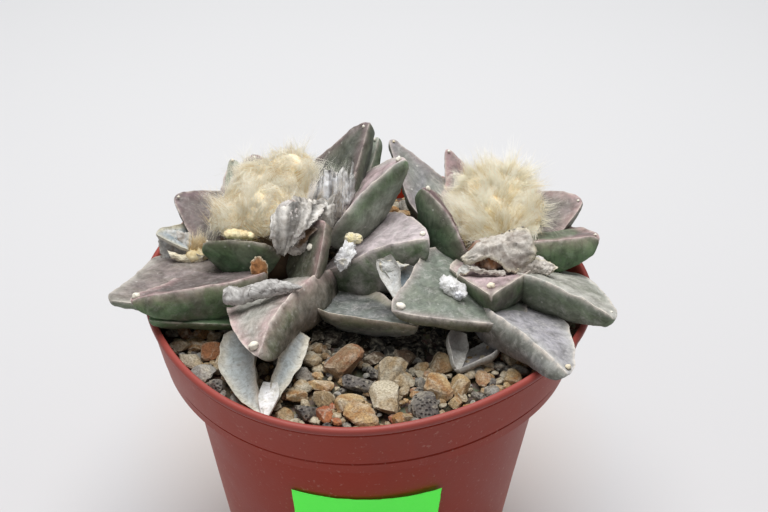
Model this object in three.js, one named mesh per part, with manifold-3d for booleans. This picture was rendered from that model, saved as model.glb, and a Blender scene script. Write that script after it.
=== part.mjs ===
// A potted ariocarpus: two rosettes of fleshy three-sided tubercles round woolly crowns,
// standing in gravel in a round plastic pot with a blank paper label.
// Millimetres, +Z up, origin at the centre of the pot's underside, -Y towards the label.
import * as THREE from "three";
import { mergeVertices } from "three/addons/utils/BufferGeometryUtils.js";
import Module from "manifold-3d";

const wasm = await Module();
wasm.setup();

// Driving dimensions
const lipRadius = 52.5;
const potHeight = 90;
const wall = 1.3;
const gap = 0.3; // clearance between pieces that touch
const room = gap * 1.6; // how far a piece's neighbours are cut back round it
const bandHeight = 16; // collar below the lip
const bandFoot = { radius: 48.9, lip: 3.4 };
const bodyTopRadius = 44;
const bodyFootRadius = 34;
const floorTop = 3.4;
const gravelLevel = 84;

// The rim is a little out of round, and the unevenness fades out below the collar.
const rimWarp = { depth: 26, four: 0.016, fourTurn: 52, three: 0.0105, threeTurn: -41 };

const radians = THREE.MathUtils.degToRad;
const goldenTurn = radians(137.508);

// Same whole-number generator wherever something is scattered, so that it never changes.
function randomStream(seed) {
  let state = seed;
  return () => {
    state = (state * 1664525 + 1013904223) % 4294967296;
    return state / 4294967296;
  };
}

function solidOf(geometry) {
  const bare = new THREE.BufferGeometry();
  bare.setAttribute("position", geometry.getAttribute("position"));
  bare.setIndex(geometry.index);
  const merged = mergeVertices(bare, 1e-3);
  return new wasm.Manifold(
    new wasm.Mesh({
      numProp: 3,
      vertProperties: new Float32Array(merged.attributes.position.array),
      triVerts: new Uint32Array(merged.index.array),
    }),
  );
}

function geometryOf(solid) {
  const mesh = solid.getMesh();
  const positions = new Float32Array(mesh.numVert * 3);
  for (let i = 0; i < mesh.numVert; i++) {
    const start = i * mesh.numProp;
    positions.set(mesh.vertProperties.subarray(start, start + 3), i * 3);
  }
  const geometry = new THREE.BufferGeometry();
  geometry.setAttribute("position", new THREE.BufferAttribute(positions, 3));
  geometry.setIndex(new THREE.BufferAttribute(new Uint32Array(mesh.triVerts), 1));
  geometry.computeVertexNormals();
  return geometry;
}

const joined = (solids) => solids.reduce((all, one) => all.add(one));

const cutBy = (solid, cutters) => cutters.reduce((left, one) => left.subtract(one), solid);

// Cutting can leave crumbs: only the largest body is kept.
const largest = (solid) =>
  solid.decompose().reduce((best, one) => (one.volume() > best.volume() ? one : best));

function movePoints(geometry, move) {
  const positions = geometry.getAttribute("position");
  const point = new THREE.Vector3();
  for (let i = 0; i < positions.count; i++) {
    point.fromBufferAttribute(positions, i);
    move(point);
    positions.setXYZ(i, point.x, point.y, point.z);
  }
  return geometry;
}

// Moves each corner once, also where several faces list it, so a random move tears nothing.
function moveEach(geometry, move) {
  const seen = new Map();
  return movePoints(geometry, (point) => {
    const key = point.toArray().map((value) => value.toFixed(3)).join();
    if (!seen.has(key)) {
      move(point);
      seen.set(key, point.clone());
    }
    point.copy(seen.get(key));
  });
}

// A profile of [radius, height] points turned about +Z.
function turned(profile, segments) {
  const points = profile.map(([radius, height]) => new THREE.Vector2(radius, height));
  return new THREE.LatheGeometry(points, segments).rotateX(Math.PI / 2);
}

// Pot

function warpRim(point) {
  const share = THREE.MathUtils.clamp(1 - (potHeight - point.z) / rimWarp.depth, 0, 1);
  const angle = Math.atan2(point.y, point.x);
  const four = rimWarp.four * Math.cos(4 * angle + radians(rimWarp.fourTurn));
  const three = rimWarp.three * Math.cos(3 * angle + radians(rimWarp.threeTurn));
  const factor = 1 + share * (four + three);
  point.x *= factor;
  point.y *= factor;
}

const potSegments = 34;
const bandFootZ = potHeight - bandHeight;
const stepZ = bandFootZ + bandFoot.lip;
const foot = { boss: 9, ringInner: 27, recess: 1.8, edge: 0.8 };
const lip = { height: 1.6, groove: 0.6, round: 0.5 };
const step = { flare: 0.6, out: 0.3, height: 0.4 };
const innerLipRadius = lipRadius - wall;
const innerBandFoot = bandFoot.radius - wall;

// The inside of the pot, from the floor up: soil fills it with a gap all round.
const innerProfile = [
  [bodyFootRadius - wall, floorTop],
  [bodyTopRadius - wall, bandFootZ - wall],
  [innerBandFoot, bandFootZ + wall],
  [innerLipRadius - lip.groove, potHeight - lip.height],
];

function potSolid() {
  const outer = [
    [0, 0],
    [foot.boss, 0],
    [foot.boss + foot.edge, foot.recess],
    [foot.ringInner - foot.edge, foot.recess],
    [foot.ringInner, 0],
    [bodyFootRadius - foot.edge, 0],
    [bodyFootRadius, foot.edge],
    [wallRadius(potHeight - rimWarp.depth), potHeight - rimWarp.depth],
    [bodyTopRadius, bandFootZ],
    [bandFoot.radius, bandFootZ],
    [bandFoot.radius + step.flare, stepZ],
    [bandFoot.radius + step.flare + step.out, stepZ + step.height],
    [lipRadius - lip.groove, potHeight - lip.height - lip.round],
    [lipRadius, potHeight - lip.height],
    [lipRadius, potHeight - lip.height / 2],
    [lipRadius - lip.groove, potHeight],
    [innerLipRadius, potHeight],
  ];
  const inner = [...innerProfile].reverse();
  const profile = [...outer, ...inner, [0, floorTop]];
  const shell = solidOf(movePoints(turned(profile, potSegments), warpRim));
  return cutBy(shell, [...drainHoles(), ...drainNotches()]);
}

const drain = { holes: 6, radius: 3, sides: 8, circle: 18, notches: 4, notchWidth: 6, notchLength: 12 };

function drainHoles() {
  return Array.from({ length: drain.holes }, (_, i) => {
    const angle = (i * 2 * Math.PI) / drain.holes;
    const hole = new THREE.CylinderGeometry(drain.radius, drain.radius, 4 * floorTop, drain.sides);
    hole.rotateX(Math.PI / 2);
    hole.translate(drain.circle * Math.cos(angle), drain.circle * Math.sin(angle), 0);
    return solidOf(hole);
  });
}

// Slots through the foot ring let the water out from under the pot.
function drainNotches() {
  return Array.from({ length: drain.notches }, (_, i) => {
    const notch = new THREE.BoxGeometry(drain.notchLength, drain.notchWidth, 2 * foot.recess);
    notch.translate(foot.ringInner + drain.notchLength / 2 - foot.edge, 0, -0.1);
    notch.rotateZ(radians(45 + i * 90));
    return solidOf(notch);
  });
}

// Label: a blank sheet of paper that follows the pot's wall.
const label = { width: 34, height: 24, top: 60, thickness: 0.4, columns: 12, turn: -89 };

function wallRadius(z) {
  return THREE.MathUtils.mapLinear(z, foot.edge, bandFootZ, bodyFootRadius, bodyTopRadius);
}

function labelSolid() {
  const sheet = new THREE.BoxGeometry(label.width, label.thickness, label.height, label.columns, 1, 1);
  movePoints(sheet, (point) => {
    const z = label.top - label.height / 2 + point.z;
    const radius = wallRadius(z) + gap + label.thickness / 2 - point.y;
    const angle = radians(label.turn) + point.x / wallRadius(label.top);
    point.set(radius * Math.cos(angle), radius * Math.sin(angle), z);
  });
  return solidOf(sheet);
}

// Tubercles

// Each is a three-sided pyramid with a broad upper face and a keel below. It runs from a root
// sunk in the stem to its tip. Roll turns it about its own line and lean shifts its keel towards
// one side. Curl and bow bend its line, up and sideways, and dish hollows its upper face.
const tubercleSides = 8;
const tubercleRings = 5;
const keelRoundness = 1.4;
const tipWidth = 0.1; // of the full width
const tipDepth = 0.26; // of the full depth

function widthShare(along) {
  const shoulder = 0.38;
  if (along < shoulder) return 0.7 + 0.3 * Math.sin((along / shoulder) * (Math.PI / 2));
  const out = (along - shoulder) / (1 - shoulder);
  return tipWidth + (1 - tipWidth) * Math.pow(1 - out, 0.88);
}

function depthShare(along) {
  const shoulder = 0.25;
  if (along < shoulder) return 0.85 + 0.6 * along;
  const out = (along - shoulder) / (1 - shoulder);
  return tipDepth + (1 - tipDepth) * Math.pow(1 - Math.pow(out, 1.7), 0.8);
}

function frameOf({ root, tip, roll = 0 }) {
  const start = new THREE.Vector3(...root);
  const forward = new THREE.Vector3(...tip).sub(start);
  const length = forward.length();
  forward.normalize();
  const side = new THREE.Vector3(0, 0, 1).cross(forward).normalize();
  side.applyAxisAngle(forward, radians(roll));
  const up = new THREE.Vector3().crossVectors(forward, side);
  return { start, forward, side, up, length };
}

// Grow makes the room that a tubercle needs, a little larger than itself on every side.
function tubercleSolid(shape, grow = 0) {
  const { width, depth, lean = 0, curl = 0, bow = 0, dish = 0, sides = tubercleSides } = shape;
  const { start, forward, side, up, length } = frameOf(shape);
  const rod = new THREE.CylinderGeometry(1, 1, 1, sides, tubercleRings);
  movePoints(rod, (point) => {
    const even = point.y + 0.5;
    const along = 1 - Math.pow(1 - even, 1.25);
    const onAxis = Math.hypot(point.x, point.z) < 0.5;
    const across = onAxis ? 0 : point.z;
    const height = onAxis ? 0 : point.x;
    const halfWidth = (width / 2) * widthShare(along) + grow;
    const keel = depth * depthShare(along) + grow;
    let sideways = 0;
    let lift = 0;
    if (onAxis) {
      lift = -keel * 0.35;
      sideways = lean * depthShare(along) * 0.35;
    } else if (height > 1e-6) {
      sideways = halfWidth * across;
      lift = grow - dish * widthShare(along) * height;
    } else {
      const down = Math.pow(Math.max(0, -height), keelRoundness);
      sideways = halfWidth * Math.sign(across) * Math.pow(Math.abs(across), keelRoundness);
      sideways += lean * depthShare(along) * down;
      lift = grow * 0.6 - (keel + grow * 0.6) * down;
    }
    const bend = length * 4 * along * (along - 1);
    lift += curl * bend;
    sideways += bow * bend;
    const reach = length * along + (along > 0.5 ? grow : -grow);
    point
      .copy(start)
      .addScaledVector(forward, reach)
      .addScaledVector(side, sideways)
      .addScaledVector(up, lift);
  });
  return solidOf(rod);
}

// A woolly areole sits on the upper face, just short of the tip.
const areoleRadius = 1;

function areoleSolid(shape, grow = 0) {
  const { start, forward, up, length } = frameOf(shape);
  const knob = new THREE.OctahedronGeometry(areoleRadius + grow, 0);
  const place = start.addScaledVector(forward, length - areoleRadius).addScaledVector(up, 0.1);
  knob.translate(place.x, place.y, place.z);
  return solidOf(knob);
}

// The stem is a low dome in the gravel on a turnip-like taproot.
const stemSegments = 14;

function stemSolid({ axis, stem }, grow = 0) {
  const [x, y] = axis;
  const radius = stem.radius + grow;
  const profile = [
    [0, stem.rootFoot - grow],
    [2 + grow, stem.rootFoot + 1],
    [radius * 0.45, stem.rootFoot + 20],
    [radius * 0.75, gravelLevel - 6],
    [radius * 0.85, gravelLevel + 1],
    [radius, gravelLevel + 6],
    [radius * 0.85, stem.top - 4],
    [radius * 0.45, stem.top - 0.8 + grow],
    [0, stem.top + grow],
  ];
  return solidOf(turned(profile, stemSegments).translate(x, y, 0));
}

const headLeft = {
  axis: [-24, 13],
  stem: { radius: 13, top: 100, rootFoot: 34 },
  tubercles: [
    // low, in front
    { root: [-14.3, 0.5, 90.3], tip: [-22.3, -38.3, 97.9], width: 20, depth: 11.4,
      roll: 21, lean: 6.3, curl: -0.09, bow: 0.095 },
    { root: [-11, -5, 89.5], tip: [11.8, -22, 93], width: 19, depth: 8, roll: -14, lean: 2, dish: 1.5 },
    { root: [-27, -1, 93], tip: [-50.5, -23, 100.5], width: 20, depth: 9.5, roll: 22, lean: 3 },
    { root: [-31, 6, 92], tip: [-55.8, -19.8, 98], width: 29, depth: 6, roll: 4, curl: 0.06 },
    { root: [-24, -5.5, 87.3], tip: [-47.5, -21, 93.5], width: 16.5, depth: 5.5 },
    // upright, round the wool
    { root: [-19, 0, 91], tip: [-9.5, -1, 106.3], width: 22, depth: 6, roll: 24, bow: 0.1 },
    { root: [-24, 2.5, 92.3], tip: [-37, -2.8, 101.9], width: 19, depth: 7, roll: 42, lean: -3, curl: -0.07 },
    { root: [-28, 13, 92], tip: [-46.5, 16.5, 102.7], width: 22, depth: 9, roll: -20 },
    { root: [-28, 20, 95], tip: [-34.3, 31.5, 104.6], width: 11, depth: 7 },
    // between the heads
    { root: [-8.5, 8.5, 90], tip: [14.1, -3.8, 104.5], width: 21, depth: 13,
      roll: 8, lean: -7.5, curl: -0.06, bow: -0.1 },
    { root: [-9, 11.5, 95.5], tip: [8.7, 13, 115.5], width: 21.5, depth: 10,
      roll: -14, curl: -0.07, bow: -0.04 },
    { root: [-14, 17, 95.5], tip: [0, 25, 118.3], width: 19.5, depth: 10, curl: -0.025 },
    { root: [-11, 18, 95], tip: [2.5, 29, 112.5], width: 14, depth: 9 },
  ],
  behind: [
    { from: 50, to: 112, count: 4, reach: 25, rise: 10, foot: 92 },
    { from: 60, to: 104, count: 3, reach: 16, rise: 32, foot: 95 },
    { from: 122, to: 152, count: 2, reach: 15, rise: 14, foot: 92 },
  ],
};

const headRight = {
  axis: [29, 8],
  stem: { radius: 13, top: 99, rootFoot: 36 },
  tubercles: [
    // low, in front
    { root: [30, -1, 92], tip: [6.4, -24, 98.8], width: 30, depth: 6,
      roll: -11, lean: 6, curl: -0.06, bow: -0.09 },
    { root: [30, 0, 97], tip: [27.6, -21, 101.2], width: 20, depth: 13, roll: 6 },
    { root: [29.5, -8.5, 90.5], tip: [42.7, -41.6, 95.8], width: 18, depth: 8.5,
      roll: -18, lean: -5.5, curl: -0.04, bow: -0.06 },
    { root: [34.5, 0.5, 92.8], tip: [54.1, -26.4, 98.7], width: 19.5, depth: 9.5,
      roll: -22, curl: -0.06, bow: -0.04 },
    // upright, round the wool
    { root: [36, 9.5, 95.5], tip: [53.8, -1.4, 103.2], width: 18.5, depth: 10.5,
      roll: -15, lean: -4, curl: -0.03 },
    { root: [33.5, 12, 95.3], tip: [51.6, 13, 104.2], width: 21, depth: 9, roll: 18 },
    { root: [24.7, 4.5, 92.7], tip: [13.7, 9.2, 109.8], width: 21, depth: 9.5,
      roll: 28, curl: -0.08, bow: 0.07 },
    { root: [22, 14.5, 94.3], tip: [5.8, 34.8, 108.8], width: 14, depth: 9 },
    { root: [27, 16, 96], tip: [20, 31, 108], width: 11, depth: 7 },
    { root: [32, 14, 96], tip: [36.5, 22, 107], width: 10, depth: 6 },
  ],
  behind: [
    { from: 42, to: 130, count: 5, reach: 23, rise: 10, foot: 92 },
    { from: 52, to: 115, count: 3, reach: 15, rise: 32, foot: 95 },
  ],
};

// Behind the crowns the tubercles stand in tiers: headings in degrees from +X, the reach from
// the stem's axis to the tip, the rise in degrees and the height of the foot.
const stemInset = 5;

function tier({ from, to, count, reach, rise, foot }, [x, y], random) {
  return Array.from({ length: count }, (_, i) => {
    const heading = radians(THREE.MathUtils.lerp(from, to, count > 1 ? i / (count - 1) : 0.5));
    const slope = radians(rise + 5 * random());
    const length = reach + 2 * random();
    const out = stemInset + length * Math.cos(slope);
    return {
      root: [x + stemInset * Math.cos(heading), y + stemInset * Math.sin(heading), foot],
      tip: [x + out * Math.cos(heading), y + out * Math.sin(heading), foot + length * Math.sin(slope)],
      width: 18 + 4 * random(),
      depth: 8,
      roll: 10 * (random() - 0.5),
    };
  });
}

function tuberclesBehind({ axis, behind }) {
  const random = randomStream(Math.round(axis[0] + 100));
  return behind.flatMap((design) => tier(design, axis, random));
}

const allTubercles = (head) => [...head.tubercles, ...tuberclesBehind(head)];

// With grow, what a neighbour is cut by, so that the two never touch.
function headSolids(head, grow = 0) {
  const tubercles = allTubercles(head);
  return [
    stemSolid(head, grow),
    ...tubercles.map((shape) => tubercleSolid(shape, grow)),
    ...tubercles.map((shape) => areoleSolid(shape, grow)),
  ];
}

// Old papery tubercles that have dried up round the foot of the heads
const papery = { sides: 4, depth: 1.8 };

const oldTubercles = {
  old_tubercle_front: [
    { root: [-28.6, -19.5, 90.4], tip: [-20.8, -44.7, 86.7], width: 8.5, roll: 24, bow: 0.08 },
    { root: [-13.3, -21.7, 90.5], tip: [-19.8, -44.8, 86.5], width: 5.4, roll: -33, bow: 0.02 },
    { root: [-19.6, -36.5, 88.6], tip: [-20.4, -46, 85.8], width: 4.6, depth: 3.5 },
  ],
  old_tubercle_left: [{ root: [-34, 10, 94], tip: [-50, 7, 98], width: 13, roll: -10, depth: 4 }],
  dry_scrap_front: [
    { root: [29, -21, 87], tip: [20, -29, 86], width: 8, roll: 25 },
    { root: [21, -20, 90], tip: [20.5, -29, 86], width: 6, roll: -40 },
  ],
  dry_scrap_middle: [
    { root: [12, -12.5, 96], tip: [3.5, -8, 100.5], width: 7, roll: -25 },
    { root: [4, -7, 101], tip: [8, -18, 96.5], width: 5, roll: 20 },
  ],
};

// Lumps of wool and dried flowers: round masses that run into one another.
const smallLump = 3.5;

function lumpSolid([x, y, z, radius, squash = 1], random, grow) {
  const lump = new THREE.IcosahedronGeometry(1, radius > smallLump ? 1 : 0);
  moveEach(lump, (point) => {
    point.multiplyScalar(radius * (0.86 + 0.28 * random()) + grow);
    point.z *= squash;
  });
  return solidOf(lump.translate(x, y, z));
}

function lumps(places, seed, grow = 0) {
  const random = randomStream(seed);
  return joined(places.map((place) => lumpSolid(place, random, grow)));
}

// Each place is [x, y, z, radius, height share].
const driedFlowers = {
  dried_flower_left: [
    [-17, 0.5, 105, 4.4, 1.2],
    [-16, 0, 100.5, 3.6],
    [-12, 5, 106, 4],
    [-8.5, 10, 107, 3.4, 1.3],
    [-7.5, 15, 110, 3.2, 1.6],
  ],
  dried_flower_right: [
    [26, -6, 101.5, 3.8],
    [31, -6.5, 102.5, 4.6],
    [35.5, -5.5, 103.5, 3.6, 1.5],
    [39, -9, 99.5, 3],
  ],
  dried_flower_front: [
    [-30.5, -19.7, 99.1, 2.3],
    [-28, -20.1, 99.3, 2.1],
    [-25.4, -19.7, 99.6, 2.1],
    [-22.8, -19.1, 100, 2.2],
    [-20.2, -18.5, 100.3, 2.4],
    [-17.4, -18.7, 100.5, 2],
  ],
  wool_tuft_left: [
    [-4.9, -4.7, 98, 2.6],
    [-3.9, -2.9, 99.5, 2.3],
    [-2.9, -1.1, 101.3, 2.3],
  ],
  wool_tuft_right: [
    [19.7, -16.4, 100.3, 2.5],
    [21.1, -18.4, 98.7, 1.9],
  ],
};

const wool = {
  wool_left: {
    lumps: [
      [-23.5, 14, 101, 11.5, 0.7],
      [-19, 19, 106.5, 6.5],
      [-25, 17, 104.5, 6.5],
      [-31.5, 8, 101, 5],
      [-23.5, 8, 103.5, 6],
    ],
    tufts: 25,
    seed: 21,
  },
  wool_right: {
    lumps: [
      [30.5, 11, 100.5, 10.5, 0.7],
      [28, 15, 104.5, 6],
      [34, 15, 105, 6],
      [37.5, 9, 102, 5],
      [29, 6, 102, 4.6],
    ],
    tufts: 25,
    seed: 22,
  },
};

const tuft = { length: 4, radius: 1.4, sunk: 2, sides: 3, stray: 0.3 };

// Tufts stand out of the mass all over its upper side, leaning a little at random.
function woolSolid({ lumps: places, tufts, seed }) {
  const random = randomStream(seed);
  const spikes = Array.from({ length: tufts }, (_, i) => {
    const [x, y, z, radius, squash = 1] = places[i % places.length];
    const turn = i * goldenTurn;
    const rise = Math.asin(0.15 + (0.85 * (i + 0.5)) / tufts);
    const way = new THREE.Vector3().setFromSphericalCoords(1, Math.PI / 2 - rise, turn);
    way.set(way.z, way.x, way.y);
    const spike = new THREE.ConeGeometry(tuft.radius, tuft.length + tuft.sunk, tuft.sides);
    const start = way.clone().multiply(new THREE.Vector3(radius, radius, radius * squash));
    way.x += tuft.stray * (2 * random() - 1);
    way.y += tuft.stray * (2 * random() - 1);
    way.normalize();
    start.addScaledVector(way, (tuft.length - tuft.sunk) / 2);
    spike.applyQuaternion(new THREE.Quaternion().setFromUnitVectors(new THREE.Vector3(0, 1, 0), way));
    return solidOf(spike.translate(x + start.x, y + start.y, z + start.z));
  });
  return joined([lumps(places, seed), ...spikes]);
}

// Gravel

const gravelHeight = (radius) => gravelLevel - 0.3 * Math.pow(radius / lipRadius, 2);

const pebbles = { count: 88, smallest: 4.4, largest: 7.4, spread: 1.5, tilt: 0.45 };

// Broken rock: a block with its corners pushed in and out, tilted and turned at random.
function pebbleSolid(random, x, y, size) {
  const stone = new THREE.BoxGeometry(size, size, size);
  const stretch = new THREE.Vector3(1 + 0.3 * random(), 1, 0.6 + 0.25 * random());
  moveEach(stone, (point) => point.multiplyScalar(0.8 + 0.35 * random()).multiply(stretch));
  stone.rotateX(pebbles.tilt * (2 * random() - 1));
  stone.rotateY(pebbles.tilt * (2 * random() - 1));
  stone.rotateZ(2 * Math.PI * random());
  stone.translate(x, y, gravelHeight(Math.hypot(x, y)) + size * 0.25 * random());
  return solidOf(stone);
}

function pebbleSolids() {
  const random = randomStream(7);
  const reach = innerLipRadius - pebbles.smallest / 2;
  const clearOfStems = ({ axis: [x, y], stem }, point) =>
    Math.hypot(point.x - x, point.y - y) > stem.radius * 0.9;
  const stones = [];
  for (let i = 0; i < pebbles.count; i++) {
    const radius = reach * Math.sqrt((i + 0.5) / pebbles.count);
    const angle = i * goldenTurn;
    const share = Math.pow(random(), pebbles.spread);
    const size = THREE.MathUtils.lerp(pebbles.smallest, pebbles.largest, share);
    const place = { x: radius * Math.cos(angle), y: radius * Math.sin(angle) };
    const stone = pebbleSolid(random, place.x, place.y, size);
    if ([headLeft, headRight].every((head) => clearOfStems(head, place))) stones.push(stone);
  }
  return stones;
}

// The room inside the pot, with the gap kept, open upwards: the gravel stays within it.
function potRoom() {
  const inside = innerProfile.map(([radius, height]) => [radius - gap - 0.1, height + gap]);
  const topRadius = inside[inside.length - 1][0];
  const profile = [[0, floorTop + gap], ...inside, [topRadius, potHeight + 10], [0, potHeight + 10]];
  return solidOf(movePoints(turned(profile, potSegments), warpRim));
}

function gravelSolid() {
  const profile = [
    [0, floorTop + gap],
    [lipRadius, floorTop + gap],
    [lipRadius, gravelHeight(lipRadius)],
    [lipRadius / 2, gravelHeight(lipRadius / 2)],
    [0, gravelHeight(0)],
  ];
  const bed = solidOf(turned(profile, potSegments));
  return joined([bed, ...pebbleSolids()]).intersect(potRoom());
}

// The room round the lip, which the tubercles that hang over it keep clear of
function lipRoom() {
  const inside = innerLipRadius - lip.groove - room;
  const outside = lipRadius + room;
  const low = gravelLevel - 8;
  const high = potHeight + room;
  const corners = [
    [inside, low],
    [outside, low],
    [outside, high],
    [inside, high],
    [inside, low],
  ];
  return solidOf(movePoints(turned(corners, potSegments), warpRim));
}

// Assembly: what lies on something is cut by the room that the lower piece needs.

const roomLeft = joined(headSolids(headLeft, room));
const roomRight = joined(headSolids(headRight, room));
const leftHead = largest(cutBy(joined(headSolids(headLeft)), [lipRoom()]));
const rightHead = largest(cutBy(joined(headSolids(headRight)), [lipRoom(), roomLeft]));

const finishes = {
  pot: [0x8c3f33, 0.5],
  label: [0x5cf25a, 0.6],
  gravel: [0x9a8a72, 0.95],
  tubercle: [0x66705f, 0.7],
  old: [0xb5ada0, 0.9],
  flower: [0xa79c90, 1],
  wool: [0xdccb9a, 1],
};

function mesh(name, solid, [color, roughness]) {
  const material = new THREE.MeshStandardMaterial({ color, roughness, metalness: 0 });
  const made = new THREE.Mesh(geometryOf(solid), material);
  made.name = name;
  return made;
}

const plant = new THREE.Group();
const laid = [roomLeft, roomRight, leftHead, rightHead]; // all that is in place already, with its room

function lay(name, solid, grown, finish) {
  plant.add(mesh(name, largest(cutBy(solid, laid)), finish));
  laid.push(grown);
}

plant.add(
  mesh("pot", potSolid(), finishes.pot),
  mesh("label", labelSolid(), finishes.label),
  mesh("head_left", leftHead, finishes.tubercle),
  mesh("head_right", rightHead, finishes.tubercle),
);

for (const [name, shapes] of Object.entries(oldTubercles)) {
  const blades = (grow) => joined(shapes.map((shape) => tubercleSolid({ ...papery, ...shape }, grow)));
  lay(name, blades(0), blades(room), finishes.old);
}

for (const [name, places] of Object.entries(driedFlowers)) {
  lay(name, lumps(places, 5), lumps(places, 5, room), finishes.flower);
}

for (const [name, design] of Object.entries(wool)) {
  const solid = woolSolid(design);
  plant.add(mesh(name, largest(cutBy(solid, laid)), finishes.wool));
}

plant.add(mesh("gravel", largest(cutBy(gravelSolid(), laid)), finishes.gravel));
export default plant;
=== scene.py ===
import math

import bmesh
import bpy
import numpy as np
from mathutils import Matrix, Quaternion, Vector, noise


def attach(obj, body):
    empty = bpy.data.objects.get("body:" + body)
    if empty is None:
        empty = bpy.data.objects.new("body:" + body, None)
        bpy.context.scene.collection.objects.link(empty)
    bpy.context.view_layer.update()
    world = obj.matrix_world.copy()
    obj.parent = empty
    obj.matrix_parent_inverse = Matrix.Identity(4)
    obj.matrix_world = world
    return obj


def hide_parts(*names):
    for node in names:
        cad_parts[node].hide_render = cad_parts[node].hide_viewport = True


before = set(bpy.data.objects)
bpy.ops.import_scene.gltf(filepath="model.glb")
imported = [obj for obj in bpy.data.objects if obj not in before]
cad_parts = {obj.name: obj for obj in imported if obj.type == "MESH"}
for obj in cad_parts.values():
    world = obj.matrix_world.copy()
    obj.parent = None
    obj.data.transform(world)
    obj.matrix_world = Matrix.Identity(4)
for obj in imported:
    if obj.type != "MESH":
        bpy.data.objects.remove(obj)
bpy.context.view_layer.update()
mm = 0.001


# Colours and finishes

def paint(red, green, blue):
    # screen values 0 to 255 in, the shader's linear colour out
    shares = [value / 255 for value in (red, green, blue)]
    linear = [s / 12.92 if s <= 0.04045 else ((s + 0.055) / 1.055) ** 2.4 for s in shares]
    return (*linear, 1)


class Finish:
    # A material with its shader, and the few nodes that all the finishes below are made of.
    def __init__(self, name, roughness, settings={}):
        self.material = bpy.data.materials.new(name)
        self.material.use_nodes = True
        self.tree = self.material.node_tree
        self.shader = next(n for n in self.tree.nodes if n.type == "BSDF_PRINCIPLED")
        for key, value in {"Roughness": roughness, **settings}.items():
            self.feed(self.shader.inputs[key], value)
        self.point = self.add("ShaderNodeTexCoord").outputs["Object"]
        self.normal = None

    def add(self, kind, **settings):
        made = self.tree.nodes.new(kind)
        for name, value in settings.items():
            setattr(made, name, value)
        return made

    def feed(self, socket, value):
        # takes another socket, a number, a vector, or a colour in screen values
        if isinstance(value, bpy.types.NodeSocket):
            self.tree.links.new(value, socket)
        else:
            socket.default_value = paint(*value) if socket.type == "RGBA" else value

    def noise(self, scale, detail=5, roughness=0.6, distortion=0, point=None):
        made = self.add("ShaderNodeTexNoise")
        self.feed(made.inputs["Vector"], point or self.point)
        made.inputs["Scale"].default_value = scale
        made.inputs["Detail"].default_value = detail
        made.inputs["Roughness"].default_value = roughness
        made.inputs["Distortion"].default_value = distortion
        return made.outputs["Fac"]

    def cells(self, scale, feature="F1", point=None, output="Distance"):
        made = self.add("ShaderNodeTexVoronoi", feature=feature)
        self.feed(made.inputs["Vector"], point or self.point)
        made.inputs["Scale"].default_value = scale
        return made.outputs[output]

    def stretched(self, scale, point=None):
        made = self.add("ShaderNodeMapping")
        self.feed(made.inputs["Vector"], point or self.point)
        made.inputs["Scale"].default_value = scale
        return made.outputs["Vector"]

    def ramp(self, value, low, high, start=0.0, end=1.0):
        made = self.add("ShaderNodeMapRange", clamp=True)
        for socket, amount in zip(made.inputs, (value, low, high, start, end)):
            self.feed(socket, amount)
        return made.outputs["Result"]

    def times(self, first, second):
        made = self.add("ShaderNodeMath", operation="MULTIPLY")
        self.feed(made.inputs[0], first)
        self.feed(made.inputs[1], second)
        return made.outputs[0]

    def mix(self, share, first, second, mode="MIX"):
        made = self.add("ShaderNodeMix", data_type="RGBA", blend_type=mode)
        for index, value in zip((0, 6, 7), (share, first, second)):
            self.feed(made.inputs[index], value)
        return made.outputs[2]

    def shade(self, color, share, dark):
        # multiplies by the dark tone where the share is 0, and by white where it is 1
        return self.mix(1.0, color, self.mix(share, dark, (255, 255, 255)), "MULTIPLY")

    def read(self, name):
        return self.add("ShaderNodeAttribute", attribute_name=name).outputs["Fac"]

    def readColor(self, name):
        return self.add("ShaderNodeAttribute", attribute_name=name).outputs["Color"]

    def glow(self, color, strength):
        self.feed(self.shader.inputs["Emission Color"], color)
        self.shader.inputs["Emission Strength"].default_value = strength

    def bump(self, height, distance, strength=1.0):
        made = self.add("ShaderNodeBump")
        self.feed(made.inputs["Height"], height)
        made.inputs["Distance"].default_value = distance * mm
        made.inputs["Strength"].default_value = strength
        if self.normal is not None:
            self.feed(made.inputs["Normal"], self.normal)
        self.normal = made.outputs["Normal"]

    def finish(self, color, roughness=None):
        self.feed(self.shader.inputs["Base Color"], color)
        if roughness is not None:
            self.feed(self.shader.inputs["Roughness"], roughness)
        if self.normal is not None:
            self.feed(self.shader.inputs["Normal"], self.normal)
        return self.material


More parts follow.
